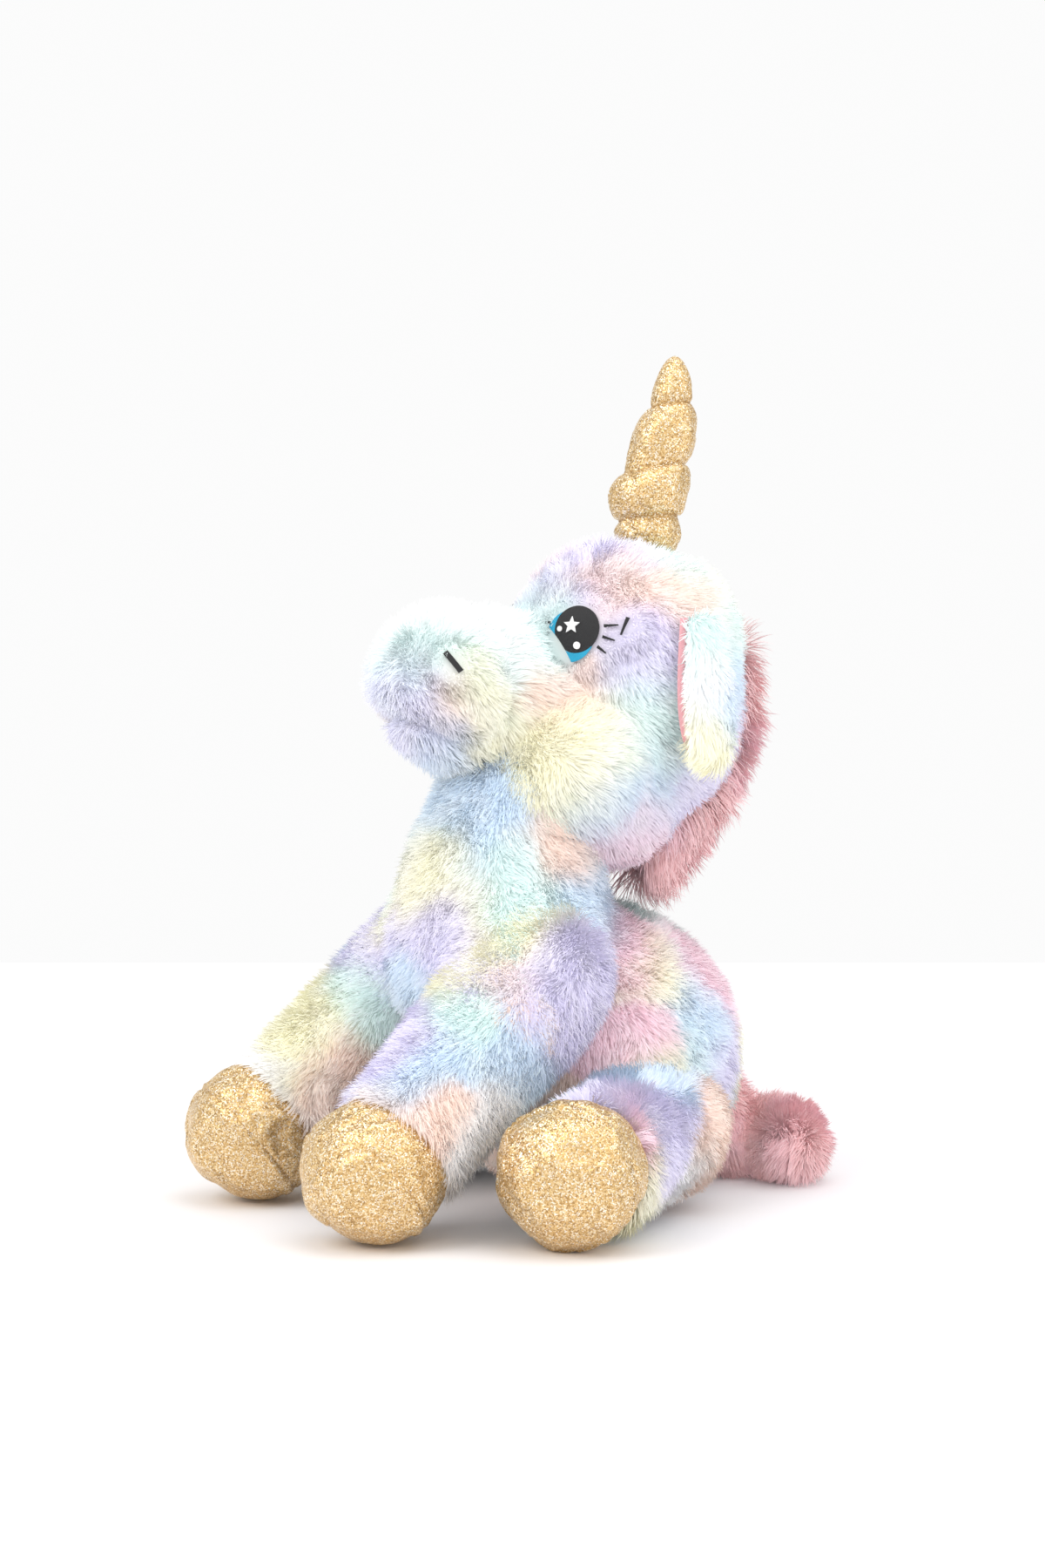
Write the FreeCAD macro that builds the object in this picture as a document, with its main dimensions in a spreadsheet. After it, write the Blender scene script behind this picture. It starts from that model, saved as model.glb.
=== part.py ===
import FreeCAD, Part
import math
import os

import Sketcher

# A seated plush unicorn, facing -Y, with its own left side on +X.
# Millimetres, +Z up; the origin is on the floor, at the centre of the toy's box.
# Every limb is stuffed round a ball that sits in a socket of the piece that carries it,
# so a limb turns about the centre of its ball without touching the socket.

Vector = FreeCAD.Vector

SIZES = [
    ("fabric_thickness", 1.6, "fur fabric, backing and clipped pile"),
    ("stuffing_gap", 0.3, "air between a cover and its stuffing"),
    ("socket_gap", 1.2, "air between a limb's ball and its socket"),
    ("socket_step", 0.15, "how much less air a leg that is swung up has than one at rest"),
    ("thread_height", 0.6, "height of one layer of embroidery"),
    ("thread_gap", 0.1, "air under an embroidered layer"),
    ("chest_radius", 51, "chest"),
    ("chest_y", -16, "centre of the chest"),
    ("chest_z", 114, "centre of the chest"),
    ("hips_radius", 68, "hips"),
    ("hips_y", 31, "centre of the hips"),
    ("hips_z", 64, "centre of the hips, less than their radius, so that the seat is flat"),
    ("bean_bag_width", 22, "weighted bag between the hips, side to side"),
    ("bean_bag_depth", 60, "weighted bag, front to back"),
    ("bean_bag_height", 46, "weighted bag, top to bottom"),
    ("neck_radius", 34, "neck ball"),
    ("neck_y", 4, "centre of the neck ball"),
    ("neck_z", 165, "centre of the neck ball"),
    ("head_radius", 54, "head, a ball drawn out upwards"),
    ("head_stretch", 28, "how far the head is drawn out"),
    ("head_y", 49, "centre of the head"),
    ("head_z", 230, "centre of the head"),
    ("muzzle_radius", 37, "round end of the muzzle"),
    ("muzzle_root_radius", 28, "muzzle, where it grows out of the head"),
    ("muzzle_y", -42, "centre of the muzzle's round end"),
    ("muzzle_z", 229, "centre of the muzzle"),
    ("muzzle_seam_y", -30, "seam between the face and the muzzle"),
    ("mouth_y", -74, "front end of the mouth seam"),
    ("mouth_z", 223, "front end of the mouth seam"),
    ("mouth_slope", 30, "degrees that the mouth seam falls towards the back"),
    ("mane_pile", 10, "pile of the mane above the head"),
    ("mane_width", 58, "mane, side to side"),
    ("mane_top", 243, "upper end of the mane"),
    ("mane_front", 68, "front edge of the mane on the head"),
    ("mane_end_radius", 16, "roll of pile at the mane's lower end, behind the neck"),
    ("mane_end_y", 57, "lower end of the mane"),
    ("mane_end_z", 151, "lower end of the mane"),
    ("horn_y", 60, "centre of the horn's ball"),
    ("horn_z", 289, "centre of the horn's ball"),
    ("horn_lean", 10, "degrees that the horn leans back"),
    ("horn_root_radius", 12.5, "horn, ball at its root"),
    ("horn_height", 89, "ball centre to tip"),
    ("horn_low_radius", 18, "lowest full puff"),
    ("horn_middle_radius", 14.5, "middle puff"),
    ("horn_top_radius", 9.5, "top puff"),
    ("horn_tip_radius", 2.5, "rounded tip"),
    ("horn_pull", 0.8, "share of a puff's radius that is left at the cinch below it"),
    ("horn_fabric", 0.8, "glitter cloth of the horn"),
    ("horn_thread_radius", 0.6, "thread wound round the horn"),
    ("ear_length", 68, "ear, root to tip"),
    ("ear_width", 26, "ear, widest place"),
    ("ear_root_width", 15, "ear, along its root"),
    ("ear_outer_thickness", 3, "furry outer leaf"),
    ("ear_lining_thickness", 1.6, "smooth inner leaf"),
    ("ear_rim", 3, "outer leaf showing round the lining"),
    ("ear_x", 58, "root of the ear, out from the middle"),
    ("ear_y", 52, "root of the ear"),
    ("ear_z", 260, "root of the ear"),
    ("ear_splay", 7, "degrees that a resting ear stands out"),
    ("eye_turn", 35, "degrees from straight ahead to the eye"),
    ("eye_rise", 12, "degrees from level, at the middle of the crown, to the eye"),
    ("pupil_radius", 10.5, "black of the eye"),
    ("iris_radius", 11.5, "blue crescent of the eye"),
    ("iris_drop", 3, "crescent's centre below and ahead of the black"),
    ("star_radius", 4, "star of light in the eye"),
    ("lash_length", 6, "longest lash"),
    ("lash_width", 1.4, "embroidered lash"),
    ("brow_length", 9, "stitched brow"),
    ("brow_rise", 22, "eye's centre to the brow"),
    ("nostril_length", 11, "stitched nostril"),
    ("nostril_width", 2.4, "stitched nostril"),
    ("nostril_x", 31.5, "nostril out from the middle"),
    ("nostril_z", 242, "height of the nostrils"),
    ("shoulder_turn", 58, "degrees from straight ahead, at the neck, to the shoulder ball"),
    ("shoulder_drop", 50, "degrees below level, at the neck, to the shoulder ball"),
    ("shoulder_wall", 12, "between the neck ball and the shoulder ball"),
    ("foreleg_radius", 34, "shoulder ball"),
    ("foreleg_length", 96, "shoulder ball's centre to the ankle seam"),
    ("foreleg_splay", 9, "degrees that a front leg points outwards"),
    ("foreleg_lift", 20, "degrees that a front leg swings up"),
    ("hindleg_x", 50, "hip ball"),
    ("hindleg_y", 34, "hip ball"),
    ("hindleg_z", 37, "hip ball"),
    ("hindleg_radius", 33, "hip ball"),
    ("hindleg_length", 78, "hip ball's centre to the ankle seam"),
    ("hindleg_splay", 37, "degrees that a hind leg points outwards"),
    ("hindleg_lift", 10, "degrees that a hind leg swings up"),
    ("ankle_radius", 29.5, "ankle seam"),
    ("hoof_radius", 31.5, "widest ring of a hoof"),
    ("hoof_wall", 22, "ankle seam to the widest ring"),
    ("hoof_dome", 25, "widest ring to the end of the sole"),
    ("hoof_fabric", 1, "glitter cloth of a hoof"),
    ("tail_y", 90, "ball at the tail's root"),
    ("tail_z", 50, "ball at the tail's root"),
    ("tail_root_radius", 14, "ball at the tail's root"),
    ("tail_radius", 17, "full part of the tail"),
    ("tail_back", 105, "line where the tail starts to curl round"),
    ("tail_curl", 19, "radius of the curl"),
    ("tail_curl_turn", 150, "degrees that the curl turns"),
    ("tail_bulge", 0.7, "bend of the tail fuller than the curl, and half as full as the tip"),
    ("label_width", 14, "care label"),
    ("label_length", 22, "care label"),
    ("label_thickness", 0.5, "care label"),
    ("label_z", 14, "lower edge of the care label"),
    ("label_turn", 26, "degrees from straight behind to the care label"),
    ("label_stand", 6, "air between the seat and the care label"),
    ("sway_room", 4, "extra air round what stands out of the horn's and the tail's sockets"),
    ("core_shrink", 0.97, "how much slimmer a straight run is than the ball that it grows out of"),
]

SIDES = (("left", 1), ("right", -1))


def fill_sheet(document):
    """Put every driving size in the spreadsheet, with its name as the cell's alias."""
    sheet = document.addObject("Spreadsheet::Sheet", "sizes")
    for row, (alias, value, meaning) in enumerate(SIZES, start=1):
        sheet.set(f"A{row}", meaning)
        sheet.set(f"B{row}", str(value))
        sheet.setAlias(f"B{row}", alias)
    document.recompute()
    return sheet


doc = FreeCAD.newDocument("plush_unicorn")
sheet = fill_sheet(doc)
pieces = []


def size(alias):
    """Read one driving size back from the sheet."""
    return float(sheet.get(alias))


def bind(thing, **formulas):
    """Tie properties to formulas of the sheet's cells; a double underscore stands for a dot."""
    for name, formula in formulas.items():
        thing.setExpression(name.replace("__", "."), formula)


def keep(thing, label):
    """Name a finished sub-part, so that it is written out."""
    thing.Label = label
    pieces.append(thing)
    return thing


# ---------------------------------------------------------------- building blocks

def globe(name, part, inset="0"):
    """A ball of a part that the sheet describes, made smaller by inset, with its seam to the front."""
    thing = doc.addObject("Part::Sphere", name)
    thing.Placement.Rotation = FreeCAD.Rotation(Vector(0, 0, 1), -90)
    bind(thing, Radius=f"sizes.{part}_radius - ({inset})",
         Placement__Base__y=f"sizes.{part}_y", Placement__Base__z=f"sizes.{part}_z")
    return thing


def ball(name, radius, centre):
    """A sphere whose radius is a formula and whose centre is a point."""
    thing = doc.addObject("Part::Sphere", name)
    bind(thing, Radius=radius)
    thing.Placement.Base = centre
    return thing


def cone(name, start_radius, end_radius, length, start, direction):
    """A cone from a start point along a direction."""
    thing = doc.addObject("Part::Cone", name)
    bind(thing, Radius1=start_radius, Radius2=end_radius, Height=length)
    turn = FreeCAD.Rotation(Vector(0, 0, 1), direction)
    thing.Placement = FreeCAD.Placement(start, turn)
    return thing


def box(name, low, high):
    """A block between two corners."""
    thing = doc.addObject("Part::Box", name)
    span = high - low
    thing.Length, thing.Width, thing.Height = span.x, span.y, span.z
    thing.Placement.Base = low
    return thing


def fuse(name, things):
    joined = doc.addObject("Part::MultiFuse", name)
    joined.Shapes = things
    return joined


def cut(name, base, tool):
    result = doc.addObject("Part::Cut", name)
    result.Base = base
    result.Tool = tool
    return result


def common(name, base, tool):
    result = doc.addObject("Part::Common", name)
    result.Base = base
    result.Tool = tool
    return result


def origin_plane(body, role):
    """One of the body's own origin planes."""
    return next(item for item in body.Origin.OriginFeatures if item.Role == role)


def profile(body, name, corners, arcs=None):
    """A closed sketch through corners, each a pair of formulas.

    A side is a straight line, unless arcs gives it "axis", for an arc centred on the
    sketch's horizontal axis, or a pair of formulas for a point that the arc passes.
    """
    arcs = arcs or {}
    sketch = body.newObject("Sketcher::SketchObject", name)
    sketch.AttachmentSupport = (origin_plane(body, "XY_Plane"), "")
    sketch.MapMode = "FlatFace"
    points = [Vector(*(float(sheet.evalExpression(text)) for text in corner)) for corner in corners]
    for side, start in enumerate(points):
        end = points[(side + 1) % len(points)]
        if side in arcs:
            sketch.addGeometry(bent_side(start, end, arcs[side]), False)
        else:
            sketch.addGeometry(Part.LineSegment(start, end), False)
    for side, corner in enumerate(corners):
        after = (side + 1) % len(points)
        leaving, arriving = side_ends(sketch, side, points[side])
        after_start = side_ends(sketch, after, points[after])[0]
        sketch.addConstraint(Sketcher.Constraint("Coincident", side, arriving, after, after_start))
        pin_point(sketch, side, leaving, corner)
        if side in arcs and arcs[side] == "axis":
            sketch.addConstraint(Sketcher.Constraint("PointOnObject", side, 3, -1))
    for side, middle in arcs.items():
        if middle != "axis":
            guide = sketch.addGeometry(Part.Point(point_of(middle)), True)
            pin_point(sketch, guide, 1, middle)
            sketch.addConstraint(Sketcher.Constraint("PointOnObject", guide, 1, side))
    return sketch


def point_of(pair):
    """The point that a pair of formulas gives."""
    return Vector(*(float(sheet.evalExpression(text)) for text in pair))


def bent_side(start, end, middle):
    """An arc from start to end, centred on the axis or through a middle point."""
    if middle != "axis":
        return Part.Arc(start, point_of(middle), end)
    centre = (end.dot(end) - start.dot(start)) / (2 * (end.x - start.x))
    radius = math.hypot(start.x - centre, start.y)
    first = math.atan2(start.y, start.x - centre)
    last = math.atan2(end.y, end.x - centre)
    halfway = (first + last) / 2
    crown = Vector(centre + radius * math.cos(halfway), radius * math.sin(halfway))
    return Part.Arc(start, crown, end)


def side_ends(sketch, side, start):
    """Which end of a side, 1 or 2, is its first corner, and which is its last."""
    if sketch.getPoint(side, 1).distanceToPoint(start) < sketch.getPoint(side, 2).distanceToPoint(start):
        return 1, 2
    return 2, 1


def pin_point(sketch, item, end, corner):
    """Hold a point of the sketch at a pair of formulas."""
    place = sketch.getPoint(item, end)
    for kind, value, formula in zip(("DistanceX", "DistanceY"), place, corner):
        index = sketch.addConstraint(Sketcher.Constraint(kind, item, end, value))
        sketch.setExpression(f"Constraints[{index}]", formula)


def turned(name, corners, arcs=None):
    """A body turned round its own X axis from a closed profile."""
    body = doc.addObject("PartDesign::Body", name)
    sketch = profile(body, name + "_profile", corners, arcs)
    solid = body.newObject("PartDesign::Revolution", name + "_turned")
    solid.Profile = sketch
    solid.ReferenceAxis = (sketch, ["H_Axis"])
    solid.Angle = 360
    return body


def padded(name, corners, arcs, thickness):
    """A body of one flat outline and a thickness."""
    body = doc.addObject("PartDesign::Body", name)
    sketch = profile(body, name + "_outline", corners, arcs)
    solid = body.newObject("PartDesign::Pad", name + "_pad")
    solid.Profile = sketch
    bind(solid, Length=thickness)
    return body


def along(start, direction):
    """A placement at start whose X axis points along direction."""
    return FreeCAD.Placement(start, FreeCAD.Rotation(Vector(1, 0, 0), direction))


# ---------------------------------------------------------------- legs

def leg_direction(leg, side):
    """Direction from a leg's ball to its hoof, so that the hoof's lowest point is on the floor."""
    splay = math.radians(size(leg + "_splay"))
    height = leg_root(leg, side).z
    length = size(leg + "_length") + size("hoof_wall")
    rim, dome = size("hoof_radius"), size("hoof_dome")
    sole_radius = (rim ** 2 + dome ** 2) / (2 * dome)
    low, high = 0.0, math.radians(80)
    for _ in range(60):
        pitch = (low + high) / 2
        rim_floor = height - length * math.sin(pitch) - rim * math.cos(pitch)
        centre = length + dome - sole_radius
        dome_floor = height - centre * math.sin(pitch) - sole_radius
        reaches_down = math.tan(math.pi / 2 - pitch) < rim / max(sole_radius - dome, 1e-6)
        floor = min(rim_floor, dome_floor) if reaches_down else rim_floor
        if floor > 0:
            low = pitch
        else:
            high = pitch
    level = math.cos(low)
    return Vector(side * level * math.sin(splay), -level * math.cos(splay), -math.sin(low))


def leg_root(leg, side):
    """Centre of a leg's ball: a hip has a place of its own, a shoulder sits against the neck."""
    if leg == "hindleg":
        return Vector(side * size("hindleg_x"), size("hindleg_y"), size("hindleg_z"))
    turn, drop = math.radians(size("shoulder_turn")), math.radians(size("shoulder_drop"))
    way = Vector(side * math.sin(turn) * math.cos(drop), -math.cos(turn) * math.cos(drop), -math.sin(drop))
    reach = size("neck_radius") + size("shoulder_wall") + size("foreleg_radius")
    return neck_centre() + way * reach


def leg_swing_axis(direction):
    """Level axis about which a leg swings up; a positive turn lifts the hoof."""
    axis = direction.cross(Vector(0, 0, 1))
    axis.normalize()
    return axis


def make_leg(leg, label, side):
    """One leg: cover, stuffing, and a hoof of a wall, a sole and its own stuffing."""
    ball_radius, ankle = f"sizes.{leg}_radius", "sizes.ankle_radius"
    seam = f"sizes.{leg}_length"
    fabric, cloth, gap = "sizes.fabric_thickness", "sizes.hoof_fabric", "sizes.stuffing_gap"
    rim, ring = "sizes.hoof_radius", f"({seam} + sizes.hoof_wall)"
    end = f"({ring} + sizes.hoof_dome)"
    inset = f"({fabric} + {gap})"
    lining = f"({cloth} + {gap})"
    cover = turned(label + "_cover", [
        (f"-{ball_radius}", "0"), ("0", ball_radius), (seam, ankle), (seam, f"{ankle} - {fabric}"),
        ("0", f"{ball_radius} - {fabric}"), (f"{fabric} - {ball_radius}", "0")],
        {0: "axis", 4: "axis"})
    filling = turned(label + "_filling", [
        (f"{inset} - {ball_radius}", "0"), ("0", f"{ball_radius} - {inset}"),
        (f"{seam} - {gap}", f"{ankle} - {inset}"), (f"{seam} - {gap}", "0")],
        {0: "axis"})
    wall = turned(label + "_wall", [
        (seam, ankle), (ring, rim), (ring, f"{rim} - {cloth}"), (seam, f"{ankle} - {cloth}")])
    sole = turned(label + "_dome", [
        (ring, rim), (end, "0"), (f"{end} - {cloth}", "0"), (ring, f"{rim} - {cloth}")],
        {0: "axis", 2: "axis"})
    hoof_filling = turned(label + "_hoof_filling", [
        (f"{seam} + {gap}", "0"), (f"{seam} + {gap}", f"{ankle} - {lining}"),
        (ring, f"{rim} - {lining}"), (f"{end} - {lining}", "0")],
        {2: "axis"})
    named = ((cover, "skin"), (filling, "stuffing"), (wall, "hoof_wall"),
             (sole, "hoof_sole"), (hoof_filling, "hoof_stuffing"))
    for body, suffix in named:
        body.Placement = along(leg_root(leg, side), leg_direction(leg, side))
        keep(body, f"{label}_{suffix}")


def leg_room(leg, side, margin, tag):
    """The space that a leg sweeps as it swings up: copies of the leg, each a little slimmer."""
    root, direction = leg_root(leg, side), leg_direction(leg, side)
    axis = leg_swing_axis(direction)
    tools = []
    steps = 2
    for step in range(steps + 1):
        room = f"{margin} - {step} * sizes.socket_step"
        swept = turned(f"{leg}_{tag}_room_{step}", [
            (f"-(sizes.{leg}_radius + {room})", "0"), ("0", f"sizes.{leg}_radius + {room}"),
            (f"sizes.{leg}_length", f"sizes.ankle_radius + {room}"), (f"sizes.{leg}_length", "0")],
            {0: "axis"})
        turn = FreeCAD.Rotation(axis, size(leg + "_lift") * step / steps)
        swept.Placement = along(root, turn.multVec(direction))
        tools.append(swept)
    return tools


# ---------------------------------------------------------------- torso and neck

def neck_centre():
    return Vector(0, size("neck_y"), size("neck_z"))


def tail_centre():
    return Vector(0, size("tail_y"), size("tail_z"))


def tail_bend():
    """Where the tail reaches the floor and starts to curl round."""
    return Vector(0, size("tail_back"), size("tail_radius") + 2 * size("tail_bulge"))


def torso(name, inset):
    """The torso's solid, smaller all round by inset, with a socket for each limb."""
    trunk = fuse(name + "_trunk", [
        globe(name + "_chest", "chest", inset), globe(name + "_hips", "hips", inset)])
    margin = f"sizes.socket_gap + ({inset})"
    run = tail_bend() - tail_centre()
    tools = [ball(name + "_neck_room", f"sizes.neck_radius + {margin}", neck_centre()),
             ball(name + "_tail_room", f"sizes.tail_root_radius + {margin}", tail_centre()),
             cone(name + "_tail_mouth", f"sizes.tail_root_radius * sizes.core_shrink + {margin}",
                  f"sizes.tail_radius + sizes.sway_room + {margin}", str(run.Length), tail_centre(), run),
             ball(name + "_tail_bend_room",
                  f"sizes.tail_radius + sizes.core_shrink * sizes.sway_room + {margin}", tail_bend())]
    for side_name, side in SIDES:
        for leg in ("foreleg", "hindleg"):
            tools += leg_room(leg, side, margin, f"{name}_{side_name}")
    reach = 4 * size("hips_radius")
    floor = box(name + "_floor", Vector(-reach, -reach, -reach), Vector(reach, reach, 0))
    bind(floor, Placement__Base__z=f"({inset}) - {reach}")
    return cut(name + "_body", trunk, fuse(name + "_rooms", tools + [floor]))


def bean_bag(name, inset):
    """The slim bag of beads that stands between the hips and weights the seat, smaller by inset."""
    bag = doc.addObject("Part::Ellipsoid", name)
    bag.Angle1 = -90
    bind(bag, Radius1=f"sizes.bean_bag_height / 2 - ({inset})",
         Radius2=f"sizes.bean_bag_width / 2 - ({inset})",
         Radius3=f"sizes.bean_bag_depth / 2 - ({inset})",
         Placement__Base__y="sizes.hips_y",
         Placement__Base__z="sizes.bean_bag_height / 2 + 2 * sizes.fabric_thickness")
    return bag


def make_torso():
    """Cover, stuffing and weighted bag of the torso, the neck ball and the care label."""
    outer = torso("torso_outer", "0")
    inner = torso("torso_inner", "sizes.fabric_thickness")
    keep(cut("torso_cover", outer, inner), "body_skin")
    bag, room = bean_bag("bag", "0"), bean_bag("bag_room", "-sizes.stuffing_gap")
    filling = torso("torso_filling", "sizes.fabric_thickness + sizes.stuffing_gap")
    keep(cut("torso_stuffing", filling, room), "body_stuffing")
    keep(bag, "seat_bean_bag")
    neck = ball("neck", "sizes.neck_radius", neck_centre())
    keep(neck, "neck_stuffing")


def make_label():
    """A blank care label that stands out of the seam at the back of the hips."""
    label = doc.addObject("Part::Box", "label")
    bind(label, Length="sizes.label_thickness", Width="sizes.label_length", Height="sizes.label_width")
    middle = size("label_z") + size("label_width") / 2
    out = math.sqrt(size("hips_radius") ** 2 - (middle - size("hips_z")) ** 2)
    turned_out = math.radians(size("label_turn"))
    skin = Vector(-out * math.sin(turned_out),
                  size("hips_y") + out * math.cos(turned_out) + size("label_stand"), size("label_z"))
    label.Placement = FreeCAD.Placement(skin, FreeCAD.Rotation(Vector(0, 0, 1), size("label_turn")))
    keep(label, "care_label")


# ---------------------------------------------------------------- head

def skull(name, inset):
    """The back of the head: a ball drawn out upwards, smaller by inset."""
    radius, half = f"(sizes.head_radius - ({inset}))", "sizes.head_stretch / 2"
    body = turned(name, [(f"-{half} - {radius}", "0"), (f"-{half}", radius), (half, radius),
                         (f"{half} + {radius}", "0")], {0: "axis", 2: "axis"})
    body.Placement = along(Vector(0, size("head_y"), size("head_z")), Vector(0, 0, 1))
    return body


def crown(name, inset):
    """The ball that the top of the head is part of, smaller by inset."""
    centre = Vector(0, size("head_y"), size("head_z") + size("head_stretch") / 2)
    return ball(name, f"sizes.head_radius - ({inset})", centre)


def muzzle_centre():
    return Vector(0, size("muzzle_y"), size("muzzle_z"))


def muzzle_end(name, inset):
    """Round front of the muzzle, smaller by inset."""
    return ball(name, f"sizes.muzzle_radius - ({inset})", muzzle_centre())


def muzzle_run(name, inset):
    """Straight stretch between the head's middle and the muzzle's round end, smaller by inset."""
    root = Vector(0, size("head_y"), size("muzzle_z"))
    run = muzzle_centre() - root
    return cone(name, f"sizes.muzzle_root_radius - ({inset})", f"sizes.muzzle_radius * sizes.core_shrink - ({inset})",
                str(run.Length), root, run)


def head_solid(name, inset):
    """The head and muzzle's solid, smaller all round by inset, with the neck's and horn's sockets."""
    face = fuse(name + "_face", [skull(name + "_skull", inset),
                                 muzzle_run(name + "_snout", inset), muzzle_end(name + "_nose", inset)])
    margin = f"sizes.socket_gap + ({inset})"
    mouth_length = f"sizes.horn_height * {HORN_CINCHES[0]}"
    rooms = fuse(name + "_rooms", [
        ball(name + "_neck_room", f"sizes.neck_radius + {margin}", neck_centre()),
        ball(name + "_horn_room", f"sizes.horn_root_radius + {margin}", horn_centre()),
        cone(name + "_horn_mouth", f"sizes.horn_root_radius * sizes.core_shrink + {margin}",
             f"{horn_cinch(HORN_PUFFS[0])} + sizes.sway_room + {margin}", mouth_length,
             horn_centre(), horn_direction())])
    return cut(name + "_head", face, rooms)


def make_head():
    """Head cover, with the muzzle and the chin as panels of their own, and the stuffing."""
    shell = cut("head_shell", head_solid("head_outer", "0"),
                head_solid("head_inner", "sizes.fabric_thickness"))
    reach = 4 * size("head_radius")
    seam, middle = size("muzzle_seam_y"), size("muzzle_z")
    front = box("muzzle_side", Vector(-reach, seam - reach, middle - reach),
                Vector(reach, seam, middle + reach))
    corner = Vector(-reach, -reach, -reach)
    below = box("chin_side", corner, Vector(reach, reach, 0))
    fall = FreeCAD.Rotation(Vector(1, 0, 0), -size("mouth_slope"))
    mouth = Vector(0, size("mouth_y"), size("mouth_z"))
    below.Placement = FreeCAD.Placement(mouth + fall.multVec(corner), fall)
    keep(cut("face_cover", shell, front), "head_skin")
    panel = common("muzzle_panel", shell, front)
    keep(cut("muzzle_cover", panel, below), "muzzle_skin")
    keep(common("chin_cover", panel, below), "chin_skin")
    keep(head_solid("head_filling", "sizes.fabric_thickness + sizes.stuffing_gap"), "head_stuffing")


def make_mane():
    """The long pile down the back of the head, with an end that hangs behind the neck."""
    half = size("mane_width") / 2
    window = box("mane_window", Vector(-half, size("mane_front"), size("mane_end_z")),
                 Vector(half, size("mane_front") + 2 * size("head_radius"), size("mane_top")))
    strip = common("mane_strip", skull("mane_outer", "-sizes.mane_pile"), window)
    half_roll, radius = "(sizes.mane_width / 2 - 1)", "sizes.mane_end_radius"
    hanging = turned("mane_roll", [
        (f"-{half_roll}", "0"), (f"{radius} / 2 - {half_roll}", radius),
        (f"{half_roll} - {radius} / 2", radius), (half_roll, "0")], {0: "axis", 2: "axis"})
    hanging.Placement = along(Vector(0, size("mane_end_y"), size("mane_end_z")), Vector(1, 0, 0))
    room = skull("mane_inner", "-sizes.stuffing_gap")
    keep(cut("mane_pile", fuse("mane_whole", [strip, hanging]), room), "mane")


# ---------------------------------------------------------------- horn

def horn_centre():
    return Vector(0, size("horn_y"), size("horn_z"))


def horn_direction():
    lean = math.radians(size("horn_lean"))
    return Vector(0, math.sin(lean), math.cos(lean))


# Where along the horn, as shares of its height, the cinches lie; the puff above each cinch;
# and where along that puff, as a share of it, it is fullest.
HORN_CINCHES = (0.17, 0.42, 0.75)   # thread round the horn, in shares of its height
HORN_PUFFS = ("horn_low_radius", "horn_middle_radius", "horn_top_radius")
CROWN_SHARE = (0.45, 0.42, 0.2)     # fullest place of each puff, in shares of its length


def horn_profile(inset):
    """The horn's outline from its root to its tip: a ball and three puffs, smaller by inset."""
    root = f"(sizes.horn_root_radius - ({inset}))"
    corners = [(f"-{root}", "0"), ("0", root)]
    arcs = {0: "axis"}
    stops = HORN_CINCHES + (1.0,)
    for number, puff in enumerate(HORN_PUFFS):
        start, stop = stops[number], stops[number + 1]
        corners.append((f"sizes.horn_height * {start}", horn_cinch(puff, inset)))
        arcs[len(corners) - 1] = (f"sizes.horn_height * {start + (stop - start) * CROWN_SHARE[number]}",
                                  f"sizes.{puff} - ({inset})")
    tip = f"(sizes.horn_tip_radius - ({inset}))"
    corners.append((f"sizes.horn_height - ({inset}) - {tip}", tip))
    arcs[len(corners) - 1] = "axis"
    corners.append((f"sizes.horn_height - ({inset})", "0"))
    return corners, arcs


def horn_cinch(puff, inset="0"):
    """Radius of the horn where thread pulls it in below a puff."""
    return f"(sizes.{puff} * sizes.horn_pull - ({inset}))"


def make_horn():
    """Horn cover, stuffing and the thread wound round its cinches."""
    corners, arcs = horn_profile("0")
    solid = turned("horn_outer", corners, arcs)
    hollow_corners, hollow_arcs = horn_profile("sizes.horn_fabric")
    hollow = turned("horn_inner", hollow_corners, hollow_arcs)
    filling_corners, filling_arcs = horn_profile("sizes.horn_fabric + sizes.stuffing_gap")
    filling = turned("horn_filling", filling_corners, filling_arcs)
    for body in (solid, hollow, filling):
        body.Placement = along(horn_centre(), horn_direction())
    keep(cut("horn_shell", solid, hollow), "horn_cover")
    keep(filling, "horn_stuffing")
    rings = []
    for number, (share, puff) in enumerate(zip(HORN_CINCHES, HORN_PUFFS)):
        ring = doc.addObject("Part::Torus", f"winding_{number}")
        bind(ring, Radius2="sizes.horn_thread_radius",
             Radius1=f"{horn_cinch(puff)} + 2 * sizes.horn_thread_radius")
        turn = FreeCAD.Rotation(Vector(0, 0, 1), horn_direction())
        ring.Placement = FreeCAD.Placement(
            horn_centre() + horn_direction() * size("horn_height") * share, turn)
        rings.append(ring)
    keep(fuse("winding", rings), "horn_winding_thread")


# ---------------------------------------------------------------- ears

EAR_BELLY = 0.6   # widest place of an ear, as a share of its length from the root


def ear_leaf(name, rim, thickness):
    """A leaf that hangs along -Y from a straight root on X, smaller all round by rim."""
    root = f"(sizes.ear_root_width / 2 - {rim})"
    waist = f"(sizes.ear_width / 2 - {rim})"
    tip = f"({rim} - sizes.ear_length)"
    belly = f"(-{EAR_BELLY} * sizes.ear_length)"
    corners = [(f"-{root}", f"-{rim}"), (root, f"-{rim}"), ("0", tip)]
    arcs = {1: (waist, belly), 2: (f"-{waist}", belly)}
    return padded(name, corners, arcs, thickness)


def ear_root(side):
    return Vector(side * size("ear_x"), size("ear_y"), size("ear_z"))


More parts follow.
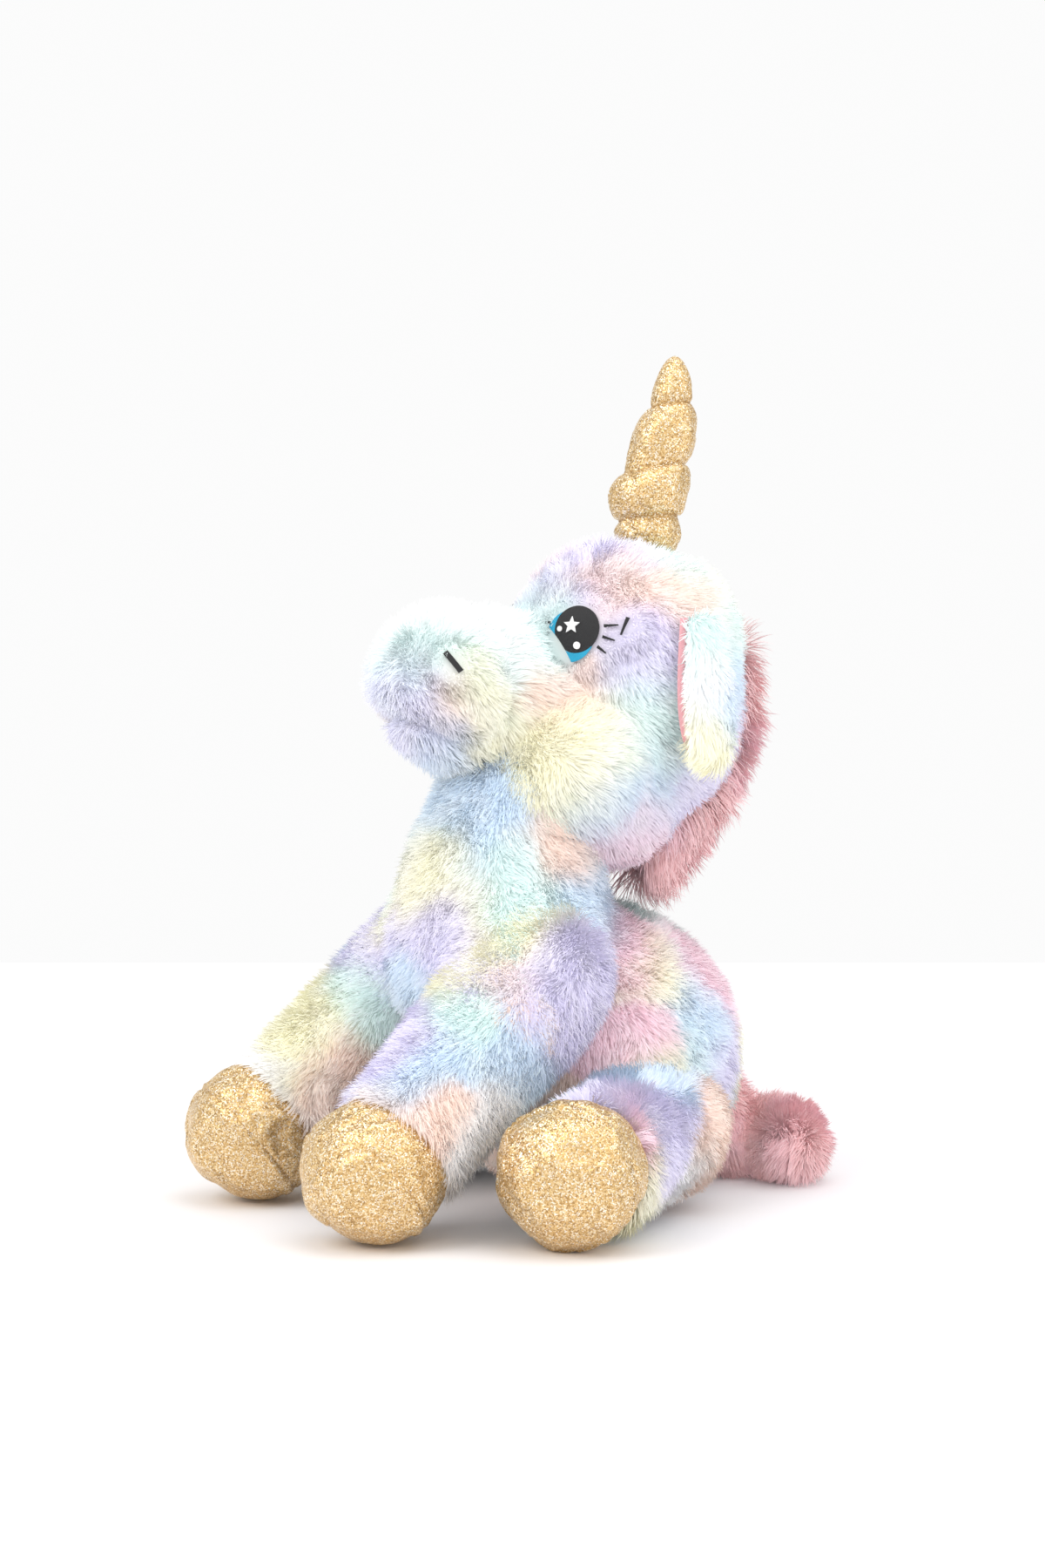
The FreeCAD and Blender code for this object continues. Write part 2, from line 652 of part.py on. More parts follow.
def make_ear(side_name, side):
    """Furry outer leaf and smooth lining, hanging from the side of the head."""
    upright = FreeCAD.Rotation(Vector(0, side, 0), Vector(0, 0, 1), Vector(side, 0, 0))
    splay = FreeCAD.Rotation(Vector(0, 1, 0), -side * size("ear_splay"))
    turn = splay.multiply(upright)
    outward = turn.multVec(Vector(0, 0, 1))
    outer = ear_leaf(f"ear_{side_name}_fur", "0", "sizes.ear_outer_thickness")
    lining = ear_leaf(f"ear_{side_name}_satin", "sizes.ear_rim", "sizes.ear_lining_thickness")
    outer.Placement = FreeCAD.Placement(ear_root(side), turn)
    back = outward * -(size("ear_lining_thickness") + size("thread_gap"))
    lining.Placement = FreeCAD.Placement(ear_root(side) + back, turn)
    keep(outer, f"ear_{side_name}_outer")
    keep(lining, f"ear_{side_name}_lining")


# ---------------------------------------------------------------- embroidery

def eye_frame(side):
    """Placement on the head with Z straight out of the eye, Y up and X towards the toy's left."""
    turn, rise = math.radians(size("eye_turn")), math.radians(size("eye_rise"))
    out = Vector(side * math.cos(rise) * math.sin(turn), -math.cos(rise) * math.cos(turn), math.sin(rise))
    middle = Vector(0, size("head_y"), size("head_z") + size("head_stretch") / 2)
    return surface_frame(middle + out * size("head_radius"), out)


def nostril_frame(side):
    """Placement on the muzzle with Z straight out of the nostril."""
    across, up = side * size("nostril_x"), size("nostril_z") - size("muzzle_z")
    ahead = -math.sqrt(size("muzzle_radius") ** 2 - across ** 2 - up ** 2)
    out = Vector(across, ahead, up)
    return surface_frame(muzzle_centre() + out, out)


def surface_frame(point, out):
    out.normalize()
    across = Vector(0, 0, 1).cross(out)
    up = out.cross(across)
    return FreeCAD.Placement(point, FreeCAD.Rotation(across, up, out))


def thread_band(name, layer, surface):
    """The thin layer above a surface that one layer of embroidery fills; surface makes its solid."""
    low = f"-sizes.thread_gap - {layer} * (sizes.thread_height + sizes.thread_gap)"
    high = f"{low} - sizes.thread_height"
    return cut(name, surface(name + "_top", high), surface(name + "_bottom", low))


STITCH_DEPTH = 30
STAR_WAIST = 0.45                      # inner corners of the star, as a share of its radius
STAR_PLACE = (-0.2, 0.15)              # across and up, in shares of the black's radius
GLINTS = (("glint", 0.3, (-0.75, 0)),  # name, share of the star's radius, place
          ("low_glint", 0.4, (0.1, -0.7)))
LASHES = ((8, 1.0), (-14, 0.9), (-36, 0.75), (168, 0.5))   # degrees round the eye, share of the length
LASH_GAP = 1.5                         # cloth between the eye and a lash, in lash widths
THREAD_TAPER = 0.4                     # width of a lash's tip, as a share of its root's
BROW_RUN = ((1.0, 1.4), (0.9, -0.4))   # ends, in shares of the brow's rise and its half length
NOSTRIL_RUN = (0.6, 0.8)               # half of the dash, across and up, in shares of its half length


def disc(name, radius, frame, across, up):
    """A round stamp through the surface, at a place in the frame."""
    thing = doc.addObject("Part::Cylinder", name)
    bind(thing, Radius=radius)
    thing.Height = STITCH_DEPTH
    thing.Placement = frame.multiply(FreeCAD.Placement(Vector(across, up, -STITCH_DEPTH / 2),
                                                       FreeCAD.Rotation()))
    return thing


def outline_stamp(name, points, frame):
    """A stamp through the surface from points in the frame."""
    wire = Part.makePolygon([Vector(x, y, -STITCH_DEPTH / 2) for x, y in points + points[:1]])
    thing = doc.addObject("Part::Feature", name)
    thing.Shape = Part.Face(wire).extrude(Vector(0, 0, STITCH_DEPTH))
    thing.Placement = frame
    return thing


def stroke(name, start, end, start_width, end_width, frame):
    """A tapered stroke of stitches between two points in the frame."""
    run = Vector(end[0] - start[0], end[1] - start[1], 0)
    run.normalize()
    side_x, side_y = -run.y, run.x
    corners = [(start[0] + side_x * start_width / 2, start[1] + side_y * start_width / 2),
               (start[0] - side_x * start_width / 2, start[1] - side_y * start_width / 2),
               (end[0] - side_x * end_width / 2, end[1] - side_y * end_width / 2),
               (end[0] + side_x * end_width / 2, end[1] + side_y * end_width / 2)]
    return outline_stamp(name, corners, frame)


def star_points(radius, across, up):
    """Corners of a five-pointed star."""
    tips = 5
    inner = radius * STAR_WAIST
    points = []
    for corner in range(2 * tips):
        reach = radius if corner % 2 == 0 else inner
        angle = math.pi / 2 + corner * math.pi / tips
        points.append((across + reach * math.cos(angle), up + reach * math.sin(angle)))
    return points


def make_eye(side_name, side, band, upper_band, nose_room):
    """Black, blue crescent, lights and lashes of one eye, as layers of stitches."""
    frame = eye_frame(side)
    label = f"eye_{side_name}"
    black, blue = size("pupil_radius"), size("iris_radius")
    drop = size("iris_drop")
    pupil = disc(label + "_black_stamp", "sizes.pupil_radius", frame, 0, 0)
    keep(cut(label + "_black", common(label + "_black_layer", band, pupil), nose_room),
         label + "_pupil")
    ring = disc(label + "_blue_stamp", "sizes.iris_radius", frame, -side * drop, -drop)
    gap_disc = disc(label + "_black_room", "sizes.pupil_radius + sizes.thread_gap", frame, 0, 0)
    crescent = cut(label + "_blue_ring", ring, gap_disc)
    keep(cut(label + "_blue", common(label + "_blue_layer", band, crescent), nose_room),
         label + "_iris")
    star = outline_stamp(label + "_star",
                         star_points(size("star_radius"), side * black * STAR_PLACE[0],
                                     black * STAR_PLACE[1]), frame)
    glints = [disc(f"{label}_{glint}", f"sizes.star_radius * {share}", frame,
                   side * black * place[0], black * place[1]) for glint, share, place in GLINTS]
    lights = fuse(label + "_lights", [star] + glints)
    keep(common(label + "_light_layer", upper_band, lights), label + "_highlights")
    lashes = []
    length, width = size("lash_length"), size("lash_width")
    for number, (angle, share) in enumerate(LASHES):
        way = math.radians(angle)
        reach = length * share
        start = black + LASH_GAP * width if abs(angle) < 90 else blue + LASH_GAP * width
        points = [(side * (start + step) * math.cos(way), (start + step) * math.sin(way))
                  for step in (0, reach)]
        lashes.append(stroke(f"{label}_lash_{number}", points[0], points[1], width,
                             width * THREAD_TAPER, frame))
    stamp = fuse(label + "_lash_stamp", lashes)
    keep(common(label + "_lash_layer", band, stamp), label + "_lashes")
    lift, half = size("brow_rise"), size("brow_length") / 2
    ends = [(side * lift * across, half * up) for across, up in BROW_RUN]
    brow = stroke(f"brow_{side_name}_stamp", ends[0], ends[1], width, width * THREAD_TAPER, frame)
    keep(common(f"brow_{side_name}_layer", band, brow), f"brow_{side_name}")


def make_nostril(side_name, side, band):
    """One slanted dash of stitches on the side of the muzzle."""
    frame = nostril_frame(side)
    half, width = size("nostril_length") / 2, size("nostril_width")
    across, up = side * half * NOSTRIL_RUN[0], half * NOSTRIL_RUN[1]
    dash = stroke(f"nostril_{side_name}_stamp", (-across, up), (across, -up), width, width, frame)
    keep(common(f"nostril_{side_name}_layer", band, dash), f"nostril_{side_name}")


def make_embroidery():
    """Both eyes, brows and nostrils."""
    band = thread_band("face_layer", 0, crown)
    upper_band = thread_band("face_upper_layer", 1, crown)
    muzzle_band = thread_band("muzzle_layer", 0, muzzle_end)
    nose_room = muzzle_run("nose_room", "-sizes.thread_gap")
    for side_name, side in SIDES:
        make_eye(side_name, side, band, upper_band, nose_room)
        make_nostril(side_name, side, muzzle_band)


# ---------------------------------------------------------------- tail

def tail_solid(name, inset):
    """Ball, straight run and curl of the tail, smaller all round by inset."""
    root = tail_centre()
    radius = f"sizes.tail_radius - ({inset})"
    turn_start = tail_bend()
    run = turn_start - root
    curl = doc.addObject("Part::Torus", name + "_curl")
    bind(curl, Radius1="sizes.tail_curl", Radius2=radius, Angle3="sizes.tail_curl_turn")
    centre = turn_start + Vector(size("tail_curl"), 0, 0)
    heading = FreeCAD.Rotation(Vector(0, 0, 1), 180 - size("tail_curl_turn"))
    curl.Placement = FreeCAD.Placement(centre, heading)
    last = math.radians(180 - size("tail_curl_turn"))
    tip = centre + Vector(math.cos(last), math.sin(last), 0) * size("tail_curl")
    run_cone = cone(name + "_run", f"sizes.tail_root_radius * sizes.core_shrink - ({inset})", radius,
                    str(run.Length), root, run)
    return fuse(name + "_tail", [
        ball(name + "_root", f"sizes.tail_root_radius - ({inset})", root), run_cone,
        ball(name + "_bend", f"{radius} + sizes.tail_bulge", turn_start), curl,
        ball(name + "_tip", f"{radius} + 2 * sizes.tail_bulge", tip)])


def make_tail():
    """Tail cover and its stuffing."""
    keep(cut("tail_cover", tail_solid("tail_outer", "0"),
             tail_solid("tail_inner", "sizes.fabric_thickness")), "tail_skin")
    keep(tail_solid("tail_filling", "sizes.fabric_thickness + sizes.stuffing_gap"), "tail_stuffing")


# ---------------------------------------------------------------- the whole toy

def build():
    make_torso()
    make_label()
    make_head()
    make_mane()
    make_horn()
    for side_name, side in SIDES:
        make_ear(side_name, side)
    make_embroidery()
    for side_name, side in SIDES:
        make_leg("foreleg", f"front_leg_{side_name}", side)
        make_leg("hindleg", f"hind_leg_{side_name}", side)
    make_tail()
    doc.recompute()


def check():
    """Stop if any object failed, or any sub-part has no sound shape."""
    failed = [thing.Label for thing in doc.Objects
              if "Invalid" in thing.State or "Error" in thing.State]
    unsound = [thing.Label for thing in pieces if thing.Shape.isNull() or not thing.Shape.isValid()]
    if failed or unsound:
        raise RuntimeError(f"failed: {failed}; unsound: {unsound}")


def write():
    os.makedirs("parts", exist_ok=True)
    for thing in pieces:
        thing.Shape.exportStep(f"parts/{thing.Label}.step")
        print(f"{thing.Label:26s} {thing.Shape.Volume / 1000:9.3f} cm3  solids {len(thing.Shape.Solids)}")
    whole = Part.makeCompound([thing.Shape for thing in pieces]).BoundBox
    print("box", [round(value, 2) for value in
                  (whole.XMin, whole.YMin, whole.ZMin, whole.XMax, whole.YMax, whole.ZMax)])


build()
check()
write()
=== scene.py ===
"""A seated plush unicorn: cloth, fur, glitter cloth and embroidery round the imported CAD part.

Shapes are worked out in millimetres and turned to metres when a mesh is made. +Z is up, the toy
faces -Y and its own left side is on +X. The CAD surface is where the tips of the fur are.
"""
import itertools
import math

import bmesh
import bpy
import numpy as np
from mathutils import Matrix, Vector


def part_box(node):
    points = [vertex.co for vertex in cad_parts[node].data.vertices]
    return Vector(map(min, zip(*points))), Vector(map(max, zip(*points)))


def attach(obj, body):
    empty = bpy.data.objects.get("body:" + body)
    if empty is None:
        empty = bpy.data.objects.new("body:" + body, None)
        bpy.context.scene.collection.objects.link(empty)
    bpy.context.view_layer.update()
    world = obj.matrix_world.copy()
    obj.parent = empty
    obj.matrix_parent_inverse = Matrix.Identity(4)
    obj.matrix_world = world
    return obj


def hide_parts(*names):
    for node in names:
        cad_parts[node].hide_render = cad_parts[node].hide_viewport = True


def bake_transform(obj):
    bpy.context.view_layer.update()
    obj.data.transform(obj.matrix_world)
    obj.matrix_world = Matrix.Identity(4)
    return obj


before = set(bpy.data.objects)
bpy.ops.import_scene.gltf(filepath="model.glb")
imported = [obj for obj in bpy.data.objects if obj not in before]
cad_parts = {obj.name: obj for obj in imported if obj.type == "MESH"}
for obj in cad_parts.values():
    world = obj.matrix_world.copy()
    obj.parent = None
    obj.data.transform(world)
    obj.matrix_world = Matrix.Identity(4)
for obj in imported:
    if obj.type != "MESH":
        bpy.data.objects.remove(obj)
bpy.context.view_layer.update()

MM = 0.001
SIDES = (("left", 1), ("right", -1))
UP = np.array((0.0, 0.0, 1.0))


# ---------------------------------------------------------------- small helpers

def unit(vectors):
    """Vectors of length one."""
    return vectors / np.maximum(np.linalg.norm(vectors, axis=-1, keepdims=True), 1e-9)


def step_up(values, low, high):
    """0 below low, 1 above high and smooth between."""
    share = np.clip((values - low) / (high - low), 0, 1)
    return share * share * (3 - 2 * share)


def cell_random(cells, seed):
    """A fixed random number from 0 to 1 for each whole-numbered cell."""
    x, y, z = (cells[..., axis].astype(np.int64) for axis in range(3))
    mixed = (x * 374761393 + y * 668265263 + z * 2147483647 + seed * 1274126177) & 0xFFFFFFFF
    mixed = ((mixed ^ (mixed >> 13)) * 1274126177) & 0xFFFFFFFF
    return ((mixed ^ (mixed >> 16)) & 0xFFFF) / 65535.0


def noise(points, pitch, seed):
    """Smooth noise from 0 to 1, with blobs about pitch apart."""
    places = points / pitch
    low = np.floor(places)
    share = places - low
    share = share * share * (3 - 2 * share)
    total = np.zeros(points.shape[:-1])
    for corner in itertools.product((0, 1), repeat=3):
        weight = np.prod(np.where(np.array(corner) == 1, share, 1 - share), axis=-1)
        total += weight * cell_random(low + np.array(corner), seed)
    return total


def swirl(points, pitch, seed):
    """Smooth random vectors, each part from -1 to 1."""
    return np.stack([noise(points, pitch, seed + axis) for axis in range(3)], axis=-1) * 2 - 1


def linear(red, green, blue):
    """A colour given as 0 to 255 on a screen, as Blender's linear values."""
    shares = np.array((red, green, blue)) / 255
    return np.where(shares <= 0.04045, shares / 12.92, ((shares + 0.055) / 1.055) ** 2.4)


# ---------------------------------------------------------------- solid shapes as distances

def ball(centre, radius):
    return lambda points: np.linalg.norm(points - np.array(centre), axis=-1) - radius


def tapered(start, end, start_radius, end_radius):
    """A round bar between two points."""
    start, run = np.array(start, float), np.array(end, float) - np.array(start, float)

    def distance(points):
        share = np.clip((points - start) @ run / (run @ run), 0, 1)
        nearest = start + share[..., None] * run
        radius = start_radius + (end_radius - start_radius) * share
        return np.linalg.norm(points - nearest, axis=-1) - radius
    return distance


def melted(shapes, soft):
    """Several shapes joined, with their creases filled."""
    def distance(points):
        each = np.stack([shape(points) for shape in shapes])
        low = each.min(axis=0)
        return low - soft * np.log(np.exp(-(each - low) / soft).sum(axis=0))
    return distance


def skin_points(shape, inset, centre, ways, reach=220.0):
    """Where rays from the centre leave the shape, inset deep under its surface."""
    far = np.full(len(ways), reach)
    for _ in range(90):
        points = centre + ways * far[:, None]
        far -= 0.75 * (shape(points) + inset(points))
    return centre + ways * far[:, None]


# ---------------------------------------------------------------- places of the toy

PILE_DEPTH = 5.5            # the cloth lies this deep under the tips of the fur
CHEST = ((0, -16, 114), 51)
HIPS = ((0, 31, 64), 68)
NECK = ((0, 4, 165), 34)
HEAD_LOW, HEAD_HIGH, HEAD_RADIUS = (0, 49, 216), (0, 49, 244), 54
SNOUT_ROOT = ((0, 18, 229), 30)
NOSE = ((0, -42, 232), 36)
CHIN = ((0, -34, 220), 30)
MUZZLE_SEAM_Y = -30
MOUTH = np.array((0, -74, 223))
MOUTH_OUT = np.array((0, 0.5, math.cos(math.radians(30))))
HORN_ROOT, HORN_LEAN, HORN_HEIGHT = np.array((0, 60, 289)), math.radians(10), 89
EAR_ROOT, EAR_LENGTH, EAR_SPLAY = (58, 52, 260), 68, math.radians(7)
TAIL_ROOT, TAIL_BEND = np.array((0, 90, 50)), np.array((0, 105, 18.4))
TAIL_CURL, TAIL_TURN, TAIL_RADIUS = 19, math.radians(150), 17
LEGS = {
    "front_leg": {"root": (43.6, -23.2, 103.7), "way": (0.1195, -0.7544, -0.6450),
                  "radius": 34, "length": 96},
    "hind_leg": {"root": (50, 34, 37), "way": (0.601, -0.797, -0.056),
                 "radius": 33, "length": 78},
}
ANKLE_RADIUS, HOOF_RADIUS, HOOF_WALL, HOOF_DOME = 29.5, 31.5, 22, 25

SHOULDER = ((30, -18, 116), (47, -42, 90), 31, 30)   # swells the chest out over each front leg
THROAT = ((0, -12, 150), (0, -4, 180), 44, 38)       # fills the front of the neck
JOWLS = (((22, 8, 193), 34), ((16, 30, 179), 32))    # the lower cheeks, on each side


def sided(place, side):
    """A place or direction given for the toy's left, on either side."""
    return np.array(place) * np.array((side, 1, 1))


shoulders = [tapered(sided(SHOULDER[0], side), sided(SHOULDER[1], side), *SHOULDER[2:]) for _, side in SIDES]
torso_shape = melted([ball(*CHEST), ball(*HIPS), tapered(*THROAT), *shoulders], 5)
head_shape = melted([tapered(HEAD_LOW, HEAD_HIGH, HEAD_RADIUS, HEAD_RADIUS),
                     tapered(SNOUT_ROOT[0], NOSE[0], SNOUT_ROOT[1], NOSE[1]), ball(*CHIN),
                     *[ball(sided(place, side), radius) for place, radius in JOWLS for _, side in SIDES]], 4)
crown_shape = ball(HEAD_HIGH, HEAD_RADIUS)
nose_shape = ball((0, -42, 229), 37)
neck_shape = ball(*NECK)


def leg_line(kind, side):
    """Ball centre and direction of a leg."""
    return sided(LEGS[kind]["root"], side), unit(sided(LEGS[kind]["way"], side))


def leg_shape(kind, side):
    root, way = leg_line(kind, side)
    leg = LEGS[kind]
    return tapered(root, root + way * leg["length"], leg["radius"], ANKLE_RADIUS)


def node_centre(node):
    """Middle of a CAD node's box, in millimetres."""
    low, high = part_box(node)
    return (np.array(low) + np.array(high)) / 2 / MM


# ---------------------------------------------------------------- dyes

DYES = {
    "lavender": linear(228, 223, 250), "mint": linear(226, 248, 245), "blue": linear(212, 232, 251),
    "peach": linear(255, 227, 212), "yellow": linear(255, 251, 220), "pink": linear(255, 217, 230),
    "white": linear(253, 252, 253), "teal": linear(214, 240, 244), "coral": linear(255, 212, 213),
}

HEAD_SPOTS = [
    ("lavender", (5, 15, 290), 26), ("mint", (10, 0, 268), 20), ("peach", (22, 20, 282), 14),
    ("peach", (40, 25, 272), 16), ("lavender", (30, 12, 272), 14), ("mint", (18, -62, 252), 24),
    ("white", (8, -45, 268), 22), ("lavender", (14, -80, 224), 22), ("peach", (30, -64, 214), 13),
    ("yellow", (36, -48, 226), 15), ("yellow", (26, -20, 205), 18), ("peach", (36, -2, 226), 16),
    ("yellow", (36, 0, 204), 20), ("lavender", (52, 28, 250), 20), ("lavender", (42, 76, 190), 26),
    ("mint", (52, 34, 214), 20), ("blue", (34, 20, 186), 20), ("pink", (28, 22, 168), 14),
    ("blue", (14, -62, 198), 14), ("peach", (46, 55, 272), 16), ("mint", (40, 80, 262), 22),
    ("blue", (48, 78, 226), 22), ("yellow", (8, 92, 268), 22), ("mint", (8, 60, 296), 16),
]
BODY_SPOTS = [
    ("blue", (14, -34, 158), 17), ("yellow", (6, -50, 150), 16), ("peach", (32, -5, 160), 14),
    ("yellow", (30, -56, 138), 14), ("lavender", (18, -60, 126), 16), ("mint", (36, -30, 148), 16),
    ("blue", (42, 10, 136), 18), ("pink", (40, 25, 120), 17), ("yellow", (50, 36, 105), 14),
    ("blue", (58, 50, 90), 16), ("pink", (65, 22, 76), 12), ("yellow", (66, 32, 62), 12),
    ("teal", (64, 46, 74), 15), ("lavender", (56, 70, 64), 18), ("white", (50, 80, 30), 18),
    ("pink", (20, 80, 100), 20), ("mint", (0, 60, 124), 20), ("yellow", (20, 96, 60), 18),
    ("blue", (0, -62, 96), 18), ("peach", (0, -40, 60), 22), ("lavender", (0, 95, 90), 16),
]
LEG_SPOTS = {
    "front_leg_left": [
        ("yellow", (52, -48, 128), 17), ("peach", (70, -50, 114), 12), ("mint", (70, -70, 95), 15),
        ("blue", (70, -86, 80), 14), ("lavender", (80, -30, 100), 18), ("peach", (80, -92, 58), 12),
        ("white", (76, -66, 42), 18), ("blue", (80, -50, 72), 14), ("lavender", (46, -86, 84), 14)],
    "front_leg_right": [
        ("yellow", (-36, -92, 78), 18), ("mint", (-30, -62, 100), 16), ("peach", (-20, -82, 52), 14),
        ("lavender", (-40, -40, 120), 20), ("yellow", (-58, -70, 80), 16), ("pink", (-78, -60, 70), 16),
        ("blue", (-76, -30, 96), 18), ("white", (-60, -96, 40), 16)],
    "hind_leg": [
        ("lavender", (92, -18, 62), 16), ("pink", (108, -14, 52), 12), ("yellow", (108, -6, 24), 14),
        ("lavender", (98, 14, 46), 15), ("peach", (80, 45, 24), 14), ("blue", (66, 0, 66), 16),
        ("white", (80, 20, 12), 14), ("mint", (70, -30, 20), 18)],
}
EAR_SPOTS = [("mint", (62, 55, 250), 18), ("blue", (66, 62, 222), 16), ("yellow", (65, 45, 203), 16),
             ("white", (62, 46, 232), 14), ("lavender", (62, 68, 240), 10)]
# painted shade: the backing cloth under the fur is darkened where the fur would shade it, since the strands
# cast no shadows
CLOTH_PAINTED_SHADE, CORAL_CLOTH_PAINTED_SHADE, EAR_CLOTH_PAINTED_SHADE = 0.86, 0.85, 0.75   # backing is darker than its fur


def dye(points, spots, mirrored=True, seed=3):
    """Tie-dye colour at each point: the spots run into one another along a wavy front."""
    wavy = points + 11 * swirl(points, 26, seed) + 4 * swirl(points, 9, seed + 7)
    if mirrored:
        wavy[..., 0] = np.abs(wavy[..., 0])
    colours = np.array([DYES[name] for name, _, _ in spots])
    nearness = np.stack([
        -(np.linalg.norm(wavy - np.array(place), axis=-1) / radius) ** 2 for _, place, radius in spots])
    weights = np.exp(1.3 * (nearness - nearness.max(axis=0)))
    weights /= weights.sum(axis=0)
    mixed = weights.T @ colours
    frost = 0.16 + 0.16 * step_up(noise(points, 7, seed + 20), 0.35, 0.8)[..., None]
    return mixed * (1 - frost) + DYES["white"] * frost


# ---------------------------------------------------------------- meshes

def finish_mesh(name, mesh, material):
    mesh.polygons.foreach_set("use_smooth", np.ones(len(mesh.polygons), dtype=bool))
    mesh.materials.append(material)
    piece = bpy.data.objects.new(name, mesh)
    bpy.context.scene.collection.objects.link(piece)
    return piece


def make_piece(name, points, faces, material, colours=None):
    """A smooth piece from points in millimetres, with the dye of each point."""
    mesh = bpy.data.meshes.new(name)
    mesh.from_pydata((points * MM).tolist(), [], [tuple(int(i) for i in face) for face in faces])
    if colours is not None:
        paint(mesh, colours)
    mesh.update()
    return finish_mesh(name, mesh, material)


def paint(mesh, colours):
    """Store a colour at each point."""
    # the colour stored as dye holds the dye together with painted shade: darker backing cloth under the fur
    # and darker strand roots
    layer = mesh.color_attributes.new("dye", "FLOAT_COLOR", "POINT")
    full = np.concatenate([colours, np.ones((len(colours), 1))], axis=1)
    layer.data.foreach_set("color", full.astype(np.float32).ravel())


def globe_ways(level):
    """Even directions all round, and the triangles between them."""
    work = bmesh.new()
    bmesh.ops.create_icosphere(work, subdivisions=level, radius=1)
    ways = np.array([corner.co[:] for corner in work.verts])
    faces = np.array([[corner.index for corner in face.verts] for face in work.faces])
    work.free()
    return unit(ways), faces


def part_of(points, faces, chosen):
    """The chosen faces with only the points that they use."""
    picked = faces[chosen]
    used, numbers = np.unique(picked, return_inverse=True)
    return points[used], numbers.reshape(picked.shape)


def tube(centres, sides, ups, radii, around=56):
    """Rings of points along a line, and the squares between them, closed at both ends."""
    angles = np.linspace(0, 2 * math.pi, around, endpoint=False)
    rings = (centres[:, None] + radii[:, None, None] * (np.cos(angles)[:, None] * sides[:, None]
                                                        + np.sin(angles)[:, None] * ups[:, None]))
    count = len(centres)
    faces = []
    for ring in range(count - 1):
        for spoke in range(around):
            after = (spoke + 1) % around
            faces.append(((ring + 1) * around + spoke, (ring + 1) * around + after,
                          ring * around + after, ring * around + spoke))
    first, last = count * around, count * around + 1
    for spoke in range(around):
        after = (spoke + 1) % around
        faces.append((first, spoke, after))
        faces.append((last, (count - 1) * around + after, (count - 1) * around + spoke))
    return np.concatenate([rings.reshape(-1, 3), centres[:1], centres[-1:]]), faces


def read_vectors(items, what):
    """One vector from each of a mesh's items."""
    values = np.empty(len(items) * 3)
    items.foreach_get(what, values)
    return values.reshape(-1, 3)


def triangles_of(piece):
    """Corner numbers of a piece's triangles, its points in millimetres and its normals."""
    mesh = piece.data
    mesh.calc_loop_triangles()
    corners = np.empty(len(mesh.loop_triangles) * 3, dtype=np.int32)
    mesh.loop_triangles.foreach_get("vertices", corners)
    points = read_vectors(mesh.vertices, "co") / MM
    return corners.reshape(-1, 3), points, read_vectors(mesh.vertex_normals, "vector")


def grid_cells(rows, columns):
    """Corner numbers of each square in a grid of points, row by row."""
    for row in range(rows - 1):
        for first in range(row * columns, (row + 1) * columns - 1):
            yield first, first + 1, first + columns + 1, first + columns


def settle(piece, body, node):
    """Put a piece on one body in place of a CAD node."""
    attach(piece, body)
    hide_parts(node)


# ---------------------------------------------------------------- fur

STRAND_STEPS = np.array((0.0, 0.38, 0.72, 1.0))
STRAND_WIDTHS = np.array((0.5, 0.44, 0.28, 0.0))
STRAND_CORNERS = np.array((0, 1, 3, 2, 2, 3, 5, 4, 4, 5, 6))
STRAND_FACES = np.array((0, 4, 8))      # the first corner of each of a strand's three faces
STRAND_SPOTS = np.array(((0.2, 0.1), (0.8, 0.1), (0.2, 0.4), (0.8, 0.4), (0.2, 0.7), (0.8, 0.7), (0.5, 0.95)))
# painted shade: each strand is darker at its root, where the fur would shade itself, and a little lighter at
# its tip
STRAND_PAINTED_SHADE = np.array((0.84, 0.84, 0.94, 0.94, 1.0, 1.0, 1.03))   # darker at the root
STRAND_POINTS = len(STRAND_PAINTED_SHADE)
FLAT_LIFT, STEEP_LIFT = 0.12, 1.4       # the least and most that a strand stands up, in radians
FLOOR_GAP = 0.4                         # no strand hangs lower than this
DENSITY = 1.0


def scatter(piece, per_mm2, dice):
    """Even random roots on a piece, with the normal at each."""
    corners, points, normals = triangles_of(piece)
    first, second, third = (points[corners[:, i]] for i in range(3))
    areas = np.linalg.norm(np.cross(second - first, third - first), axis=1) / 2
    count = int(areas.sum() * per_mm2 * DENSITY)
    chosen = np.searchsorted(np.cumsum(areas) / areas.sum(), dice.random(count))
    a, b = dice.random((2, count))
    over = a + b > 1
    a[over], b[over] = 1 - a[over], 1 - b[over]
    shares = np.stack([1 - a - b, a, b], axis=1)[..., None]
    return ((points[corners[chosen]] * shares).sum(axis=1),
            unit((normals[corners[chosen]] * shares).sum(axis=1)))


def clumps(roots, pitch, seed):
    """From each root to the middle of the tuft that it belongs to."""
    wavy = roots + 0.4 * pitch * swirl(roots, 2.5 * pitch, seed)
    cells = np.floor(wavy / pitch).astype(np.int64)
    keys = cells[:, 0] * 73856093 ^ cells[:, 1] * 19349663 ^ cells[:, 2] * 83492791
    _, numbers = np.unique(keys, return_inverse=True)
    counts = np.bincount(numbers)
    middles = np.stack([np.bincount(numbers, weights=roots[:, axis]) / counts for axis in range(3)], axis=1)
    return middles[numbers] - roots


